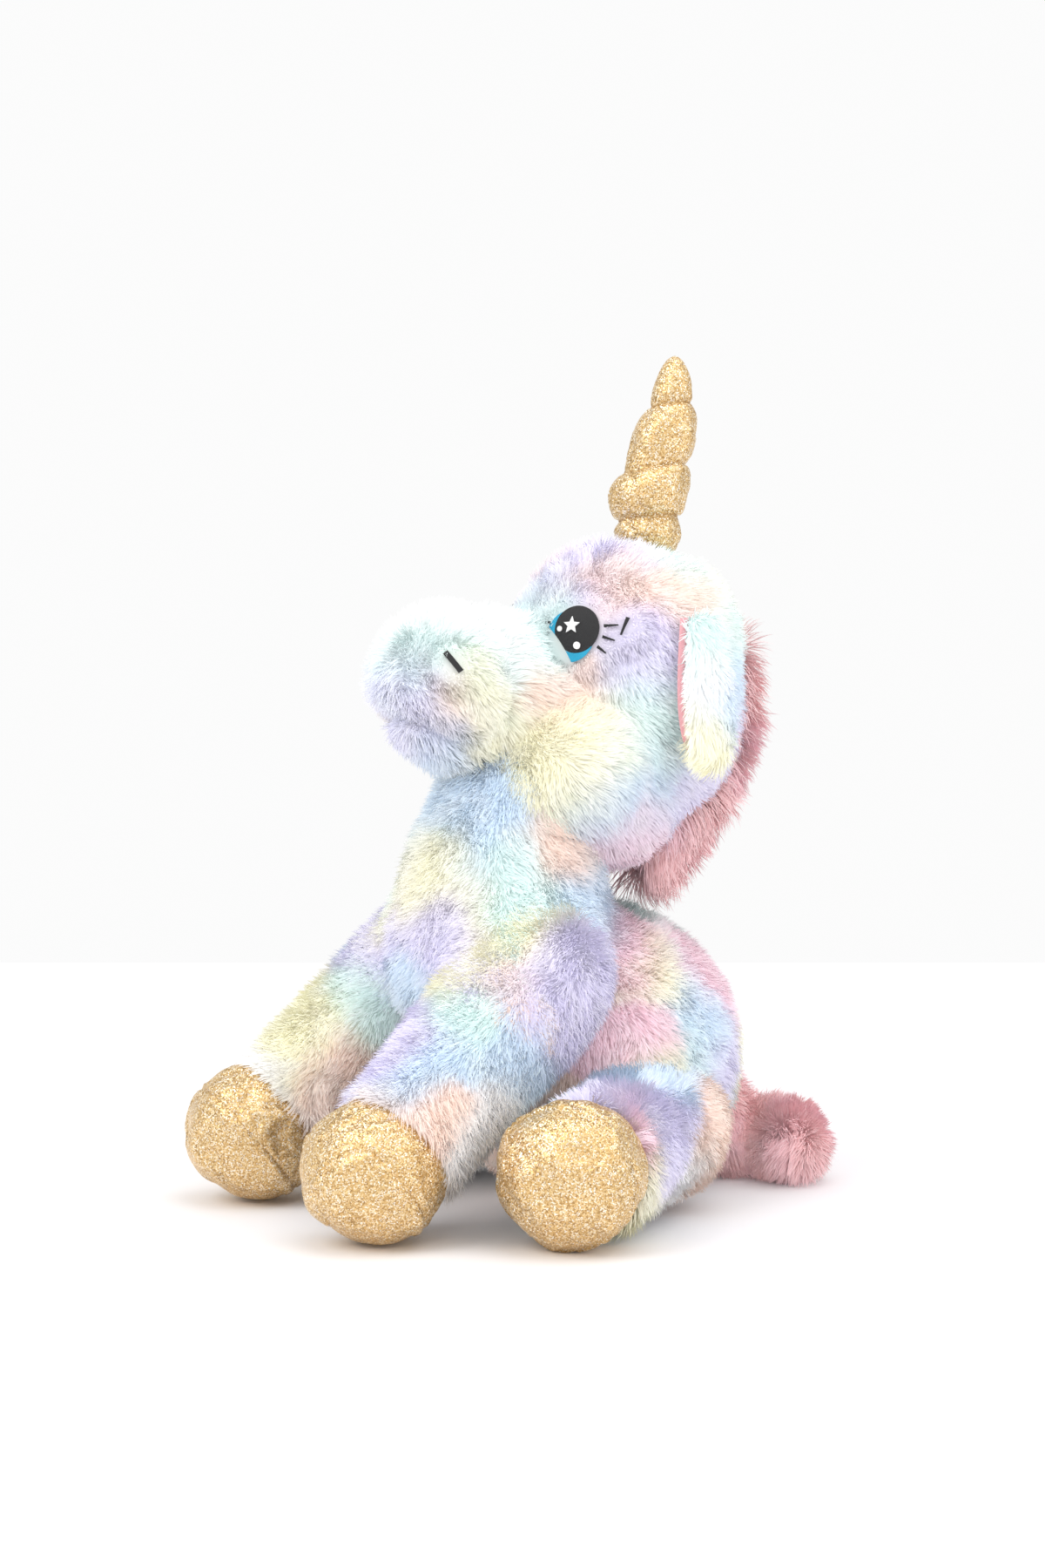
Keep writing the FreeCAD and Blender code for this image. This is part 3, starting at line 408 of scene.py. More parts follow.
def grow(name, roots, normals, length, comb, lift, colours, material, seed, tuft=3.0, pull=0.4,
         width=1.0, unrest=0.8):
    """Strands of fur: flat tapering hairs that lean the way they are combed and gather in tufts."""
    dice = np.random.default_rng(seed)
    count = len(roots)
    comb = comb + unrest * swirl(roots, 15, seed) + 0.55 * unrest * swirl(roots, 5, seed + 5)
    comb = unit(comb - (comb * normals).sum(axis=1, keepdims=True) * normals)
    raised = lift + 0.3 * (noise(roots, 8, seed + 9) - 0.5) + 0.24 * dice.standard_normal(count)
    raised = np.clip(raised, FLAT_LIFT, STEEP_LIFT)[:, None]
    lengths = (length * dice.uniform(0.75, 1.15, count) * (0.85 + 0.3 * noise(roots, 6, seed + 11)))[:, None]
    gather = clumps(roots, tuft, seed + 2) * pull
    gather -= (gather * normals).sum(axis=1, keepdims=True) * normals
    steps = STRAND_STEPS[None, :, None]
    rise = (steps - 0.38 * steps ** 2) / 0.62
    lean = 0.6 * steps + 0.4 * steps ** 2
    line = roots[:, None] + lengths[:, None] * (normals[:, None] * np.sin(raised)[:, None] * rise
                                                + comb[:, None] * np.cos(raised)[:, None] * lean)
    line = line + gather[:, None] * steps ** 1.5
    ahead = unit(line[:, 3] - line[:, 0])
    across = unit(np.cross(ahead, normals))
    over = unit(np.cross(across, ahead))
    roll = dice.uniform(-0.8, 0.8, count)[:, None]
    across, over = across * np.cos(roll) + over * np.sin(roll), over * np.cos(roll) - across * np.sin(roll)
    widths = STRAND_WIDTHS * width / math.sqrt(DENSITY)
    half = across[:, None] * widths[None, :3, None] / 2
    points = np.empty((count, STRAND_POINTS, 3))
    points[:, 0:-1:2] = line[:, :3] - half
    points[:, 1:-1:2] = line[:, :3] + half
    points[:, -1] = line[:, 3]
    points[..., 2] = np.maximum(points[..., 2], FLOOR_GAP)
    jitter = (1 + 0.06 * dice.standard_normal(count))[:, None, None]
    # the dye of each strand with its painted shade, darker at the root, and a random change of tone
    dye_with_painted_shade = np.clip(colours[:, None] * STRAND_PAINTED_SHADE[None, :, None] * jitter, 0, 1)
    tilt = unit(0.62 * normals + 0.38 * over)
    return strand_piece(name, points, tilt, dye_with_painted_shade, material)


def strand_piece(name, points, normals, dye_with_painted_shade, material):
    """One mesh of all the strands of a coat."""
    count = len(points)
    mesh = bpy.data.meshes.new(name)
    mesh.vertices.add(count * STRAND_POINTS)
    mesh.vertices.foreach_set("co", (points * MM).astype(np.float32).ravel())
    numbers = np.arange(count)
    corners = numbers[:, None] * STRAND_POINTS + STRAND_CORNERS
    starts = numbers[:, None] * len(STRAND_CORNERS) + STRAND_FACES
    mesh.loops.add(corners.size)
    mesh.loops.foreach_set("vertex_index", corners.astype(np.int32).ravel())
    mesh.polygons.add(starts.size)
    mesh.polygons.foreach_set("loop_start", starts.astype(np.int32).ravel())
    mesh.update(calc_edges=True)
    layer = mesh.uv_layers.new(name="OFBake")
    across = math.ceil(math.sqrt(count))
    corner = np.stack([numbers % across, numbers // across], axis=1)[:, None]
    spots = (corner + STRAND_SPOTS[STRAND_CORNERS][None]) / across
    layer.data.foreach_set("uv", spots.astype(np.float32).ravel())
    paint(mesh, dye_with_painted_shade.reshape(-1, 3))
    piece = finish_mesh(name, mesh, material)
    mesh.normals_split_custom_set_from_vertices(np.repeat(normals, STRAND_POINTS, axis=0).tolist())
    piece.visible_shadow = False
    return piece


def fur_inset(points):
    return np.full(points.shape[:-1], PILE_DEPTH)


def within(roots, side, low, high):
    """Whether roots are on one side of the toy and between two heights."""
    return (roots[:, 0] * side >= 0) & (roots[:, 2] >= low) & (roots[:, 2] < high)


def lay_coat(name, piece, per_mm2, length, comb, lift, tint, material, seed, keep, **looks):
    """Cover a piece with strands; length and comb are functions of the roots and normals."""
    roots, normals = scatter(piece, per_mm2, np.random.default_rng(seed))
    wanted = keep(roots)
    roots, normals = roots[wanted], normals[wanted]
    return grow(name, roots, normals, length(roots), comb(roots, normals), lift, tint(roots), material,
                seed, **looks)


# ---------------------------------------------------------------- materials

def new_material(name):
    material = bpy.data.materials.new(name)
    material.use_nodes = True
    nodes, links = material.node_tree.nodes, material.node_tree.links
    shader = nodes["Principled BSDF"]
    place = nodes.new("ShaderNodeTexCoord")
    return material, nodes, links, shader, place.outputs["Object"]


def add_noise(nodes, links, place, scale, detail=2.0):
    texture = nodes.new("ShaderNodeTexNoise")
    texture.inputs["Scale"].default_value = scale
    texture.inputs["Detail"].default_value = detail
    links.new(place, texture.inputs["Vector"])
    return texture.outputs["Fac"]


def add_range(nodes, links, value, low, high):
    """A value from 0 to 1 spread between low and high."""
    spread = nodes.new("ShaderNodeMapRange")
    spread.inputs["To Min"].default_value = low
    spread.inputs["To Max"].default_value = high
    links.new(value, spread.inputs["Value"])
    return spread.outputs["Result"]


def add_bump(nodes, links, height, depth):
    """Normals of a surface raised by depth metres."""
    bump = nodes.new("ShaderNodeBump")
    bump.inputs["Distance"].default_value = depth
    bump.inputs["Strength"].default_value = 1.0
    links.new(height, bump.inputs["Height"])
    return bump.outputs["Normal"]


def add_vector(nodes, links, operation, *values):
    """A vector operation on sockets and fixed vectors."""
    node = nodes.new("ShaderNodeVectorMath")
    node.operation = operation
    for socket, value in zip(node.inputs, values):
        if isinstance(value, bpy.types.NodeSocket):
            links.new(value, socket)
        else:
            socket.default_value = value
    return node.outputs["Vector"]


def add_product(nodes, links, colour, value):
    """A colour made lighter or darker by a value."""
    mix = nodes.new("ShaderNodeVectorMath")
    mix.operation = "SCALE"
    links.new(colour, mix.inputs[0])
    links.new(value, mix.inputs["Scale"])
    return mix.outputs["Vector"]


def fur_material(name, sheen=0.35):
    """Dyed polyester fur, or the knitted backing that it grows from."""
    material, nodes, links, shader, place = new_material(name)
    # the dye attribute holds the dye with painted shade under the fur and at the strand roots
    dyed = nodes.new("ShaderNodeAttribute")
    dyed.attribute_name = "dye"
    patchy = add_range(nodes, links, add_noise(nodes, links, place, 140), 0.94, 1.06)
    fine = add_noise(nodes, links, place, 1600)
    links.new(add_product(nodes, links, dyed.outputs["Color"], patchy), shader.inputs["Base Color"])
    links.new(add_range(nodes, links, fine, 0.7, 0.95), shader.inputs["Roughness"])
    links.new(add_bump(nodes, links, fine, 0.00008), shader.inputs["Normal"])
    shader.inputs["Sheen Weight"].default_value = sheen
    shader.inputs["Sheen Roughness"].default_value = 0.45
    shader.inputs["Specular IOR Level"].default_value = 0.25
    return material


FLAKES_PER_METRE, FLAKE_TILT = 1900, 0.55
FLAKE_COLOURS = ((0.0, linear(172, 134, 82)), (0.35, linear(214, 176, 116)), (0.7, linear(236, 206, 150)),
                 (0.9, linear(250, 236, 208)), (1.0, linear(255, 253, 246)))


def glitter_material(name):
    """Gold cloth covered with small glued flakes that face all ways."""
    material, nodes, links, shader, place = new_material(name)
    flakes = nodes.new("ShaderNodeTexVoronoi")
    flakes.inputs["Scale"].default_value = FLAKES_PER_METRE
    links.new(place, flakes.inputs["Vector"])
    parts = nodes.new("ShaderNodeSeparateColor")
    links.new(flakes.outputs["Color"], parts.inputs["Color"])
    ramp = nodes.new("ShaderNodeValToRGB")
    for number, (at, colour) in enumerate(FLAKE_COLOURS):
        stop = ramp.color_ramp.elements[number] if number < 2 else ramp.color_ramp.elements.new(at)
        stop.position = at
        stop.color = (*colour, 1)
    links.new(parts.outputs["Red"], ramp.inputs["Fac"])
    patchy = add_range(nodes, links, add_noise(nodes, links, place, 70), 0.86, 1.12)
    links.new(add_product(nodes, links, ramp.outputs["Color"], patchy), shader.inputs["Base Color"])
    links.new(add_range(nodes, links, parts.outputs["Green"], 0.28, 0.6), shader.inputs["Roughness"])
    centred = add_vector(nodes, links, "SUBTRACT", flakes.outputs["Color"], (0.5, 0.5, 0.5))
    tilt = add_vector(nodes, links, "MULTIPLY", centred, (FLAKE_TILT, FLAKE_TILT, FLAKE_TILT))
    creased = add_bump(nodes, links, add_noise(nodes, links, place, 420), 0.0003)
    facing = add_vector(nodes, links, "NORMALIZE", add_vector(nodes, links, "ADD", creased, tilt))
    links.new(facing, shader.inputs["Normal"])
    shader.inputs["Metallic"].default_value = 0.75
    shader.inputs["Coat Weight"].default_value = 0.15
    return material


def woven_material(name, colour, thread=0.00045, depth=0.00006, rough=(0.45, 0.7), sheen=0.2, groove_shade=0.8):
    """Stitches or threads side by side, thread wide."""
    material, nodes, links, shader, place = new_material(name)
    rows = nodes.new("ShaderNodeTexWave")
    rows.bands_direction = "DIAGONAL"
    rows.inputs["Scale"].default_value = 0.3 / thread
    rows.inputs["Distortion"].default_value = 1.5
    rows.inputs["Detail Scale"].default_value = 0.4 / thread
    links.new(place, rows.inputs["Vector"])
    # painted shade: each thread is darker where its bump is lowest, in the grooves between threads
    shade = add_range(nodes, links, rows.outputs["Fac"], groove_shade, 1.0)
    patchy = add_range(nodes, links, add_noise(nodes, links, place, 300), 0.93, 1.07)
    both = nodes.new("ShaderNodeMath")
    both.operation = "MULTIPLY"
    links.new(shade, both.inputs[0])
    links.new(patchy, both.inputs[1])
    base = nodes.new("ShaderNodeRGB")
    base.outputs[0].default_value = (*colour, 1)
    links.new(add_product(nodes, links, base.outputs[0], both.outputs["Value"]), shader.inputs["Base Color"])
    links.new(add_range(nodes, links, rows.outputs["Fac"], *rough), shader.inputs["Roughness"])
    links.new(add_bump(nodes, links, rows.outputs["Fac"], depth), shader.inputs["Normal"])
    shader.inputs["Sheen Weight"].default_value = sheen
    return material


def plain_stage_material(name):
    """Matt white paper."""
    material, nodes, links, shader, place = new_material(name)
    mottled = add_range(nodes, links, add_noise(nodes, links, place, 2.0), 0.97, 1.0)
    base = nodes.new("ShaderNodeRGB")
    base.outputs[0].default_value = (*linear(247, 246, 248), 1)
    links.new(add_product(nodes, links, base.outputs[0], mottled), shader.inputs["Base Color"])
    shader.inputs["Roughness"].default_value = 0.7
    return material


fur = fur_material("pastel_fur_strands")
backing = fur_material("pastel_fur_backing", sheen=0.15)
coral_fur = fur_material("coral_pile_strands")
coral_backing = fur_material("coral_pile_backing", sheen=0.15)
glitter = glitter_material("gold_glitter_cloth")
gold_thread = woven_material("gold_thread", linear(190, 146, 78), rough=(0.3, 0.5))
black_thread = woven_material("black_thread", linear(26, 25, 28), groove_shade=0.55, sheen=0.05)
blue_thread = woven_material("blue_thread", linear(20, 172, 214), groove_shade=0.7)
white_thread = woven_material("white_thread", linear(250, 250, 250), groove_shade=0.88)
pink_satin = woven_material("pink_satin", linear(246, 176, 184), thread=0.0003, rough=(0.3, 0.5), sheen=0.4)
fiberfill = woven_material("fiberfill", linear(240, 240, 238), thread=0.002, depth=0.0008)
bead_bag = woven_material("bead_bag_cloth", linear(232, 230, 224), thread=0.0006)
label_cloth = woven_material("label_cloth", linear(250, 250, 250), thread=0.0004, groove_shade=0.9)


# ---------------------------------------------------------------- cloth under pressure

CLOTH = {"quality": 5, "mass": 0.2, "tension_stiffness": 25, "compression_stiffness": 25,
         "shear_stiffness": 8, "bending_stiffness": 0.3, "shrink_min": -0.05, "use_pressure": True,
         "uniform_pressure_force": 4.0, "vertex_group_mass": "held"}
CLOTH_FRAMES = 20


def inflate(piece, held, cap):
    """Stuff a cover: pressure swells its cloth between the points that are held, by cap at most."""
    group = piece.vertex_groups.new(name="held")
    for number, weight in enumerate(held):
        group.add([number], float(weight), "REPLACE")
    cloth = piece.modifiers.new("Cloth", "CLOTH")
    for setting, value in CLOTH.items():
        setattr(cloth.settings, setting, value)
    cloth.settings.effector_weights.gravity = 0
    cloth.collision_settings.use_collision = False
    for number in range(1, CLOTH_FRAMES + 1):
        bpy.context.scene.frame_set(number)
    swollen = piece.evaluated_get(bpy.context.evaluated_depsgraph_get()).to_mesh()
    before = read_vectors(piece.data.vertices, "co")
    moved = read_vectors(swollen.vertices, "co") - before
    far = np.linalg.norm(moved, axis=1, keepdims=True)
    moved *= np.minimum(1, cap * MM / np.maximum(far, 1e-9))
    piece.data.vertices.foreach_set("co", (before + moved).ravel())
    piece.modifiers.remove(cloth)
    piece.vertex_groups.remove(group)
    piece.data.update()
    bpy.context.scene.frame_set(1)


def shrunken(name, piece, depth, body, node):
    """Stuffing that fills a cover: its shape, depth deeper."""
    corners, points, normals = triangles_of(piece)
    lumps = depth + 0.8 * (noise(points, 9, 41) - 0.5)
    stuffing = make_piece(name, points - normals * lumps[:, None], corners, fiberfill)
    settle(stuffing, body, node)


# ---------------------------------------------------------------- torso

FILL_SHARE = 0.94           # size of the stuffing of the torso and head, beside their covers
COVER_GAP = 2.0             # how far the seat's cloth is above the floor
WAIST, EYE_LEVEL, OVERHEAD = 88, 232, 500   # heights where a coat is cut into pieces
leg_shapes = [leg_shape(kind, side) for kind in LEGS for _, side in SIDES]


def torso_bare(roots):
    """Whether a root isn't deep inside a leg or the head."""
    depths = np.min([shape(roots) for shape in leg_shapes], axis=0)
    return (depths > -9) & (head_shape(roots) > -14)


def torso_length(roots):
    """Fur is pressed flat under the seat."""
    return 8.0 * (0.45 + 0.55 * step_up(roots[:, 2], 3, 12))


def torso_comb(roots, normals):
    return np.array((0, 0.15, -1.0)) + 0.6 * normals * np.array((1, 1, 0))


def make_torso():
    """Cover, stuffing and coat of the torso, up to the neck."""
    centre = np.array((0, 11, 95))
    ways, faces = globe_ways(7)
    points = skin_points(torso_shape, fur_inset, centre, ways)
    points[:, 2] = np.maximum(points[:, 2], COVER_GAP)
    # painted shade: the torso's backing is darkened under its fur
    skin = make_piece("body_cover", points, faces, backing, dye(points, BODY_SPOTS) * CLOTH_PAINTED_SHADE)
    stuffing = make_piece("body_filling", centre + (points - centre) * FILL_SHARE, faces, fiberfill)
    coats = []
    for number, (side_name, side) in enumerate(SIDES):
        for level, (low, high) in (("lower", (-1, WAIST)), ("upper", (WAIST, OVERHEAD))):
            coats.append(lay_coat(
                f"body_fur_{level}_{side_name}", skin, 2.2, torso_length, torso_comb, 0.98,
                lambda roots: dye(roots, BODY_SPOTS), fur, 11 + number * 2 + (level == "upper"),
                keep=lambda roots: torso_bare(roots) & within(roots, side, low, high)))
    for piece in [skin, *coats]:
        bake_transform(piece)
    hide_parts("body_skin")
    settle(stuffing, "body", "body_stuffing")
    make_neck_core()


def make_neck_core():
    """Packed fibre inside the neck, which the head nods and turns on."""
    ways, faces = globe_ways(5)
    centre, radius = np.array(NECK[0]), NECK[1] - PILE_DEPTH - 3
    points = centre + ways * (radius + noise(ways * radius, 9, 5)[:, None])
    core = make_piece("neck_filling", points, faces, fiberfill)
    settle(core, "neck", "neck_stuffing")


# ---------------------------------------------------------------- head

HORN_DENT, HORN_DENT_WIDTH = 7.5, 21   # the cloth is drawn in round the horn


def stitched_places():
    """Middle and reach of each patch of embroidery, where the cloth comes up to the stitches."""
    places = []
    for side_name, _ in SIDES:
        places.append((node_centre(f"eye_{side_name}_pupil"), 12.2, crown_shape))
        places.append((node_centre(f"eye_{side_name}_iris"), 11.5, crown_shape))
        places.append((node_centre(f"nostril_{side_name}"), 4.5, nose_shape))
        places.append((node_centre(f"brow_{side_name}"), 4.0, crown_shape))
    return places


def head_inset(points):
    """Depth of the head's cloth: seams are drawn in, and embroidered cloth lies at the surface."""
    face = MUZZLE_SEAM_Y - points[..., 1]
    seam = 2.6 * np.exp(-(face / 3.2) ** 2)
    fall = (points - MOUTH) @ MOUTH_OUT
    mouth = 5.0 * np.exp(-(fall / 2.8) ** 2) * step_up(face, 2, 14)
    socket = np.linalg.norm((points - HORN_ROOT)[..., :2], axis=-1) / HORN_DENT_WIDTH
    dent = HORN_DENT * np.exp(-socket ** 4) * step_up(points[..., 2], 260, 280)
    depth = PILE_DEPTH + seam + mouth + dent
    for middle, reach, carrier in stitched_places():
        away = np.linalg.norm(points - middle, axis=-1)
        shown = step_up(away, reach + 2, reach + 12)
        under = 0.9 + carrier(points) - head_shape(points)
        depth = under + (depth - under) * shown
    return depth


def head_comb(roots, normals):
    """Fur of the head lies towards the back and down, and away from the end of the nose."""
    back = np.array((0, 0.75, -0.65))
    cheek = step_up(roots[:, 1], -20, 30)[:, None]
    away = unit(roots - np.array((0, -60, 240)))
    return back * (0.4 + 0.6 * cheek) + away * (1 - cheek)


def head_length(roots):
    """Fur reaches the CAD surface, and lies low round the stitches and along the seams."""
    depth = head_inset(roots)
    level = PILE_DEPTH + 1.0
    face = np.abs(roots[:, 1] - MUZZLE_SEAM_Y)
    fall = np.abs((roots - MOUTH) @ MOUTH_OUT)
    front = step_up(-roots[:, 1], -MUZZLE_SEAM_Y, 12 - MUZZLE_SEAM_Y)
    seam = (0.7 + 0.3 * step_up(face, 0, 6)) * (1 - 0.55 * front * np.exp(-(fall / 4) ** 2))
    cheek = 1 + 0.25 * np.exp(-(((roots[:, 1] + 5) / 26) ** 2)) * step_up(-roots[:, 2], -225, -195)
    return 1.22 * np.minimum(depth + 0.5, level) * seam * cheek


def clear_of_stitches(roots):
    free = np.ones(len(roots), dtype=bool)
    for middle, reach, _ in stitched_places():
        free &= np.linalg.norm(roots - middle, axis=-1) > reach - 0.3
    return free


def make_head():
    """Face, muzzle and chin covers, their stuffing and coats."""
    centre = np.array((0, 26, 232))
    ways, faces = globe_ways(7)
    points = skin_points(head_shape, head_inset, centre, ways)
    middles = points[faces].mean(axis=1)
    front = middles[:, 1] < MUZZLE_SEAM_Y
    below = (middles - MOUTH) @ MOUTH_OUT < 0
    panels = [("head", ~front), ("muzzle", front & ~below), ("chin", front & below)]
    whole = make_piece("head_filling", centre + (points - centre) * FILL_SHARE, faces, fiberfill)
    settle(whole, "head", "head_stuffing")
    # painted shade: the head's backing is darkened under its fur
    dye_with_painted_shade = dye(points, HEAD_SPOTS) * CLOTH_PAINTED_SHADE
    for number, (panel, chosen) in enumerate(panels):
        part_points, part_faces = part_of(points, faces, chosen)
        skin = make_piece(f"{panel}_cover", part_points, part_faces, backing, dye_with_painted_shade[np.unique(faces[chosen])])
        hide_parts(f"{panel}_skin")
        halves, levels = (("", 0),), (("", (0, OVERHEAD)),)
        if panel == "head":
            halves, levels = SIDES, (("low", (0, EYE_LEVEL)), ("high", (EYE_LEVEL, OVERHEAD)))
        coats = []
        for side_name, side in halves:
            for level, (low, high) in levels:
                name = "_".join(word for word in (panel, "fur", level, side_name) if word)
                coats.append(lay_coat(
                    name, skin, 2.3, head_length, head_comb, 0.92,
                    lambda roots: dye(roots, HEAD_SPOTS), fur, 31 + 7 * number + side + len(level),
                    keep=lambda roots: (clear_of_stitches(roots) & within(roots, side, low, high)
                                        & (neck_shape(roots) > -12) & ~under_mane(roots))))
        for piece in [skin, *coats]:
            if panel == "head":
                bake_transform(piece)
            else:
                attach(piece, "head")


# ---------------------------------------------------------------- legs and hooves

def leg_axes(way):
    """Two directions square to a leg, the second one upwards."""
    side = unit(np.cross(way, UP))
    return side, np.cross(side, way)


LEG_COMB = {"front_leg": 1.0, "hind_leg": 0.25}   # how much the fur lies along the leg


def make_leg(kind, side_name, side):
    """One leg's cover, stuffing and coat."""
    name = f"{kind}_{side_name}"
    root, way = leg_line(kind, side)
    across, up = leg_axes(way)
    radius, length = LEGS[kind]["radius"], LEGS[kind]["length"]
    stations = np.concatenate([np.linspace(-radius, 0, 14)[1:], np.linspace(0, length, 44)[1:]])
    share = np.clip(stations / length, 0, 1)
    taper = radius + (ANKLE_RADIUS - radius) * share
    rounded = np.sqrt(np.maximum(radius ** 2 - stations ** 2, 9))
    radii = np.where(stations < 0, rounded, taper) - PILE_DEPTH + step_up(share, 0.8, 1.0)
    rings = np.ones((len(stations), 1))
    points, faces = tube(root + stations[:, None] * way, rings * across, rings * up, radii)
    points = points + 1.3 * swirl(points, 24, 51)
    points[:, 2] = np.maximum(points[:, 2], 1.6)
    spots = LEG_SPOTS.get(name, LEG_SPOTS["hind_leg"])
    mirrored = name not in LEG_SPOTS
    # painted shade: the leg's backing is darkened under its fur
    skin = make_piece(f"{name}_cover", points, faces, backing, dye(points, spots, mirrored) * CLOTH_PAINTED_SHADE)
    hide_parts(f"{name}_skin")
    shrunken(f"{name}_filling", skin, 2.2, name, f"{name}_stuffing")

    def reach(roots):
        along = (roots - root) @ way
        under = step_up(-(roots - root) @ up, -4, 22)
        shaggy = 1 + 0.35 * step_up(along, 0.25 * length, 0.9 * length) * under
        squeezed = 0.5 + 0.5 * step_up(roots[:, 2], 2, 9)
        return 8.0 * shaggy * squeezed

    def comb(roots, normals):
        return way * LEG_COMB[kind] + np.array((0, 0, -0.45))

    def shown(roots):
        along = (roots - root) @ way
        return (torso_shape(roots) > -13) & (along < length - 0.5)

    coat = lay_coat(f"{name}_fur", skin, 2.4, reach, comb, 0.95,
                    lambda roots: dye(roots, spots, mirrored), fur, 61 + side + len(kind), keep=shown)
    for piece in (skin, coat):
        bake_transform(piece)
    make_hoof(name, root + way * length, way, across, up)


def hoof_radius(along):
    """The hoof's outline from the ankle seam to the end of the sole."""
    wall = np.clip(along / HOOF_WALL, 0, 1)
    bulge = ANKLE_RADIUS - 3.5 + (HOOF_RADIUS - ANKLE_RADIUS + 3.5) * np.sin(wall * math.pi / 2) ** 0.8
    over = np.clip((along - HOOF_WALL) / HOOF_DOME, 0, 1)
    return bulge * np.sqrt(np.maximum(1 - over ** 2.15, 0))


HOOF_INSET, HOOF_SWELL, SEAM_DRAW = 0.7, 1.3, 0.9   # cloth depth before and swelling under pressure, seam
PUCKERS = 40                                        # gathers round the sole's seam


def make_hoof(name, ankle, way, across, up):
    """Glitter cloth of one hoof: stuffed as one cover, then cut along its seam into wall and sole."""
    wall = np.linspace(0.4, HOOF_WALL, 18)
    dome = HOOF_WALL + HOOF_DOME * np.sin(np.linspace(0, math.pi / 2, 26)[1:-1])
    stations = np.concatenate([wall, dome])
    rings = np.ones((len(stations), 1))
    points, faces = tube(ankle + stations[:, None] * way, rings * across, rings * up,
                         hoof_radius(stations) - HOOF_INSET, around=96)
    points[-1] = ankle + way * (HOOF_WALL + HOOF_DOME - 0.4)
    points += 0.5 * swirl(points, 11, 71)
    points[:, 2] = np.maximum(points[:, 2], 0.5)
    along = (points - ankle) @ way
    held = np.exp(-((along - HOOF_WALL) / 1.2) ** 2) * 0.9 + (along < 1.5)
    whole = make_piece(f"{name}_hoof", points, faces, glitter)
    inflate(whole, np.clip(held, 0, 1), cap=HOOF_SWELL)
    corners, points, _ = triangles_of(whole)
    bpy.data.objects.remove(whole)
    points[:, 2] = np.maximum(points[:, 2], 0.3)
    along = (points - ankle) @ way
    around = np.arctan2((points - ankle) @ up, (points - ankle) @ across)
    draw = SEAM_DRAW * np.exp(-((along - HOOF_WALL) / 1.3) ** 2) * (1 + 0.35 * np.sin(around * PUCKERS))
    points -= draw[:, None] * unit(points - (ankle + along[:, None] * way))
    sole_side = ((points[corners] - ankle) @ way).mean(axis=1) > HOOF_WALL
    for part, chosen in (("wall", ~sole_side), ("sole", sole_side)):
        cloth = make_piece(f"{name}_hoof_{part}_cloth", *part_of(points, corners, chosen), glitter)
        settle(cloth, name, f"{name}_hoof_{part}")
    middle = ankle + way * 20
    inside = make_piece(f"{name}_hoof_filling", middle + (points - middle) * 0.93, corners, fiberfill)
    settle(inside, name, f"{name}_hoof_stuffing")


# ---------------------------------------------------------------- tail and mane

def coral(roots):
    """Coral dye, a little lighter in places."""
    lighter = 0.5 * step_up(noise(roots, 10, 81), 0.3, 0.9)[:, None]
    return DYES["coral"] * (1 - lighter) + DYES["pink"] * lighter


def tail_line():
    """Points down the middle of the tail: out of the back, down, then round to the left."""
    down = TAIL_ROOT + np.linspace(0, 1, 12)[:-1, None] * (TAIL_BEND - TAIL_ROOT)
    middle = TAIL_BEND + np.array((TAIL_CURL, 0, 0))
    angles = np.linspace(math.pi, math.pi - TAIL_TURN, 30)
    curl = middle + TAIL_CURL * np.stack([np.cos(angles), np.sin(angles), np.zeros(30)], axis=1)
    line = np.concatenate([down, curl])
    for _ in range(6):
        line[1:-1] = (line[:-2] + line[1:-1] * 2 + line[2:]) / 4
    return line


NEARLY_UP = UP + 0.01       # never runs quite along the tail


def make_tail():
    """The coral tail: cover, stuffing and long pile."""
    line = tail_line()
    ahead = unit(np.gradient(line, axis=0))
    across = unit(np.cross(ahead, NEARLY_UP))
    up = np.cross(across, ahead)
    share = np.linspace(0, 1, len(line))
    radii = 8 + 2.5 * np.sin(share * math.pi) + 0.8 * share
    radii[-3:] *= (0.94, 0.75, 0.4)
    points, faces = tube(line, across, up, radii, around=40)
    points[:, 2] = np.maximum(points[:, 2], 2)
    # painted shade: the tail's backing is darkened under its pile
    skin = make_piece("tail_cover", points, faces, coral_backing, coral(points) * CORAL_CLOTH_PAINTED_SHADE)
    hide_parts("tail_skin")
    shrunken("tail_filling", skin, 2.0, "tail", "tail_stuffing")

    def nearest(roots):
        return np.argmin(np.linalg.norm(roots[:, None] - line[None], axis=2), axis=1)

    def comb(roots, normals):
        return 0.35 * ahead[nearest(roots)] + np.array((0, 0, -0.6))

    coat = lay_coat("tail_pile", skin, 6.0, lambda roots: np.full(len(roots), 12.0), comb, 1.1, coral,
                    coral_fur, 91, tuft=5.5, pull=0.7, width=1.0, unrest=1.3,
                    keep=lambda roots: torso_shape(roots) > -10)
    for piece in (skin, coat):
        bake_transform(piece)


MANE_HALF = 32              # half the mane's greatest width
MANE_CLOTH = (3.5, 6.0)     # how deep the outer and inner faces of its backing lie
mane_shape = melted([tapered(HEAD_LOW, HEAD_HIGH, HEAD_RADIUS, HEAD_RADIUS),
                     tapered((0, 72, 182), (0, 57, 153), 20, 13)], 5)


def under_mane(roots):
    """Whether points lie where the mane covers the head."""
    rise = np.degrees(np.arctan2(roots[:, 2] - 226, roots[:, 1] - 49))
    return (np.abs(roots[:, 0]) < 0.8 * MANE_HALF) & (rise > -95) & (rise < 16)


def mane_comb(roots, normals):
    """The mane falls down the back and fans out to both sides."""
    aside = np.clip(roots[:, :1] / MANE_HALF, -1, 1) * np.array((1.0, 0, 0))
    return np.array((0, -0.1, -0.9)) + 0.9 * aside


def mane_length(roots):
    """The pile is longer behind the neck."""
    return 16.5 + 2.5 * step_up(-roots[:, 2], -190, -160)


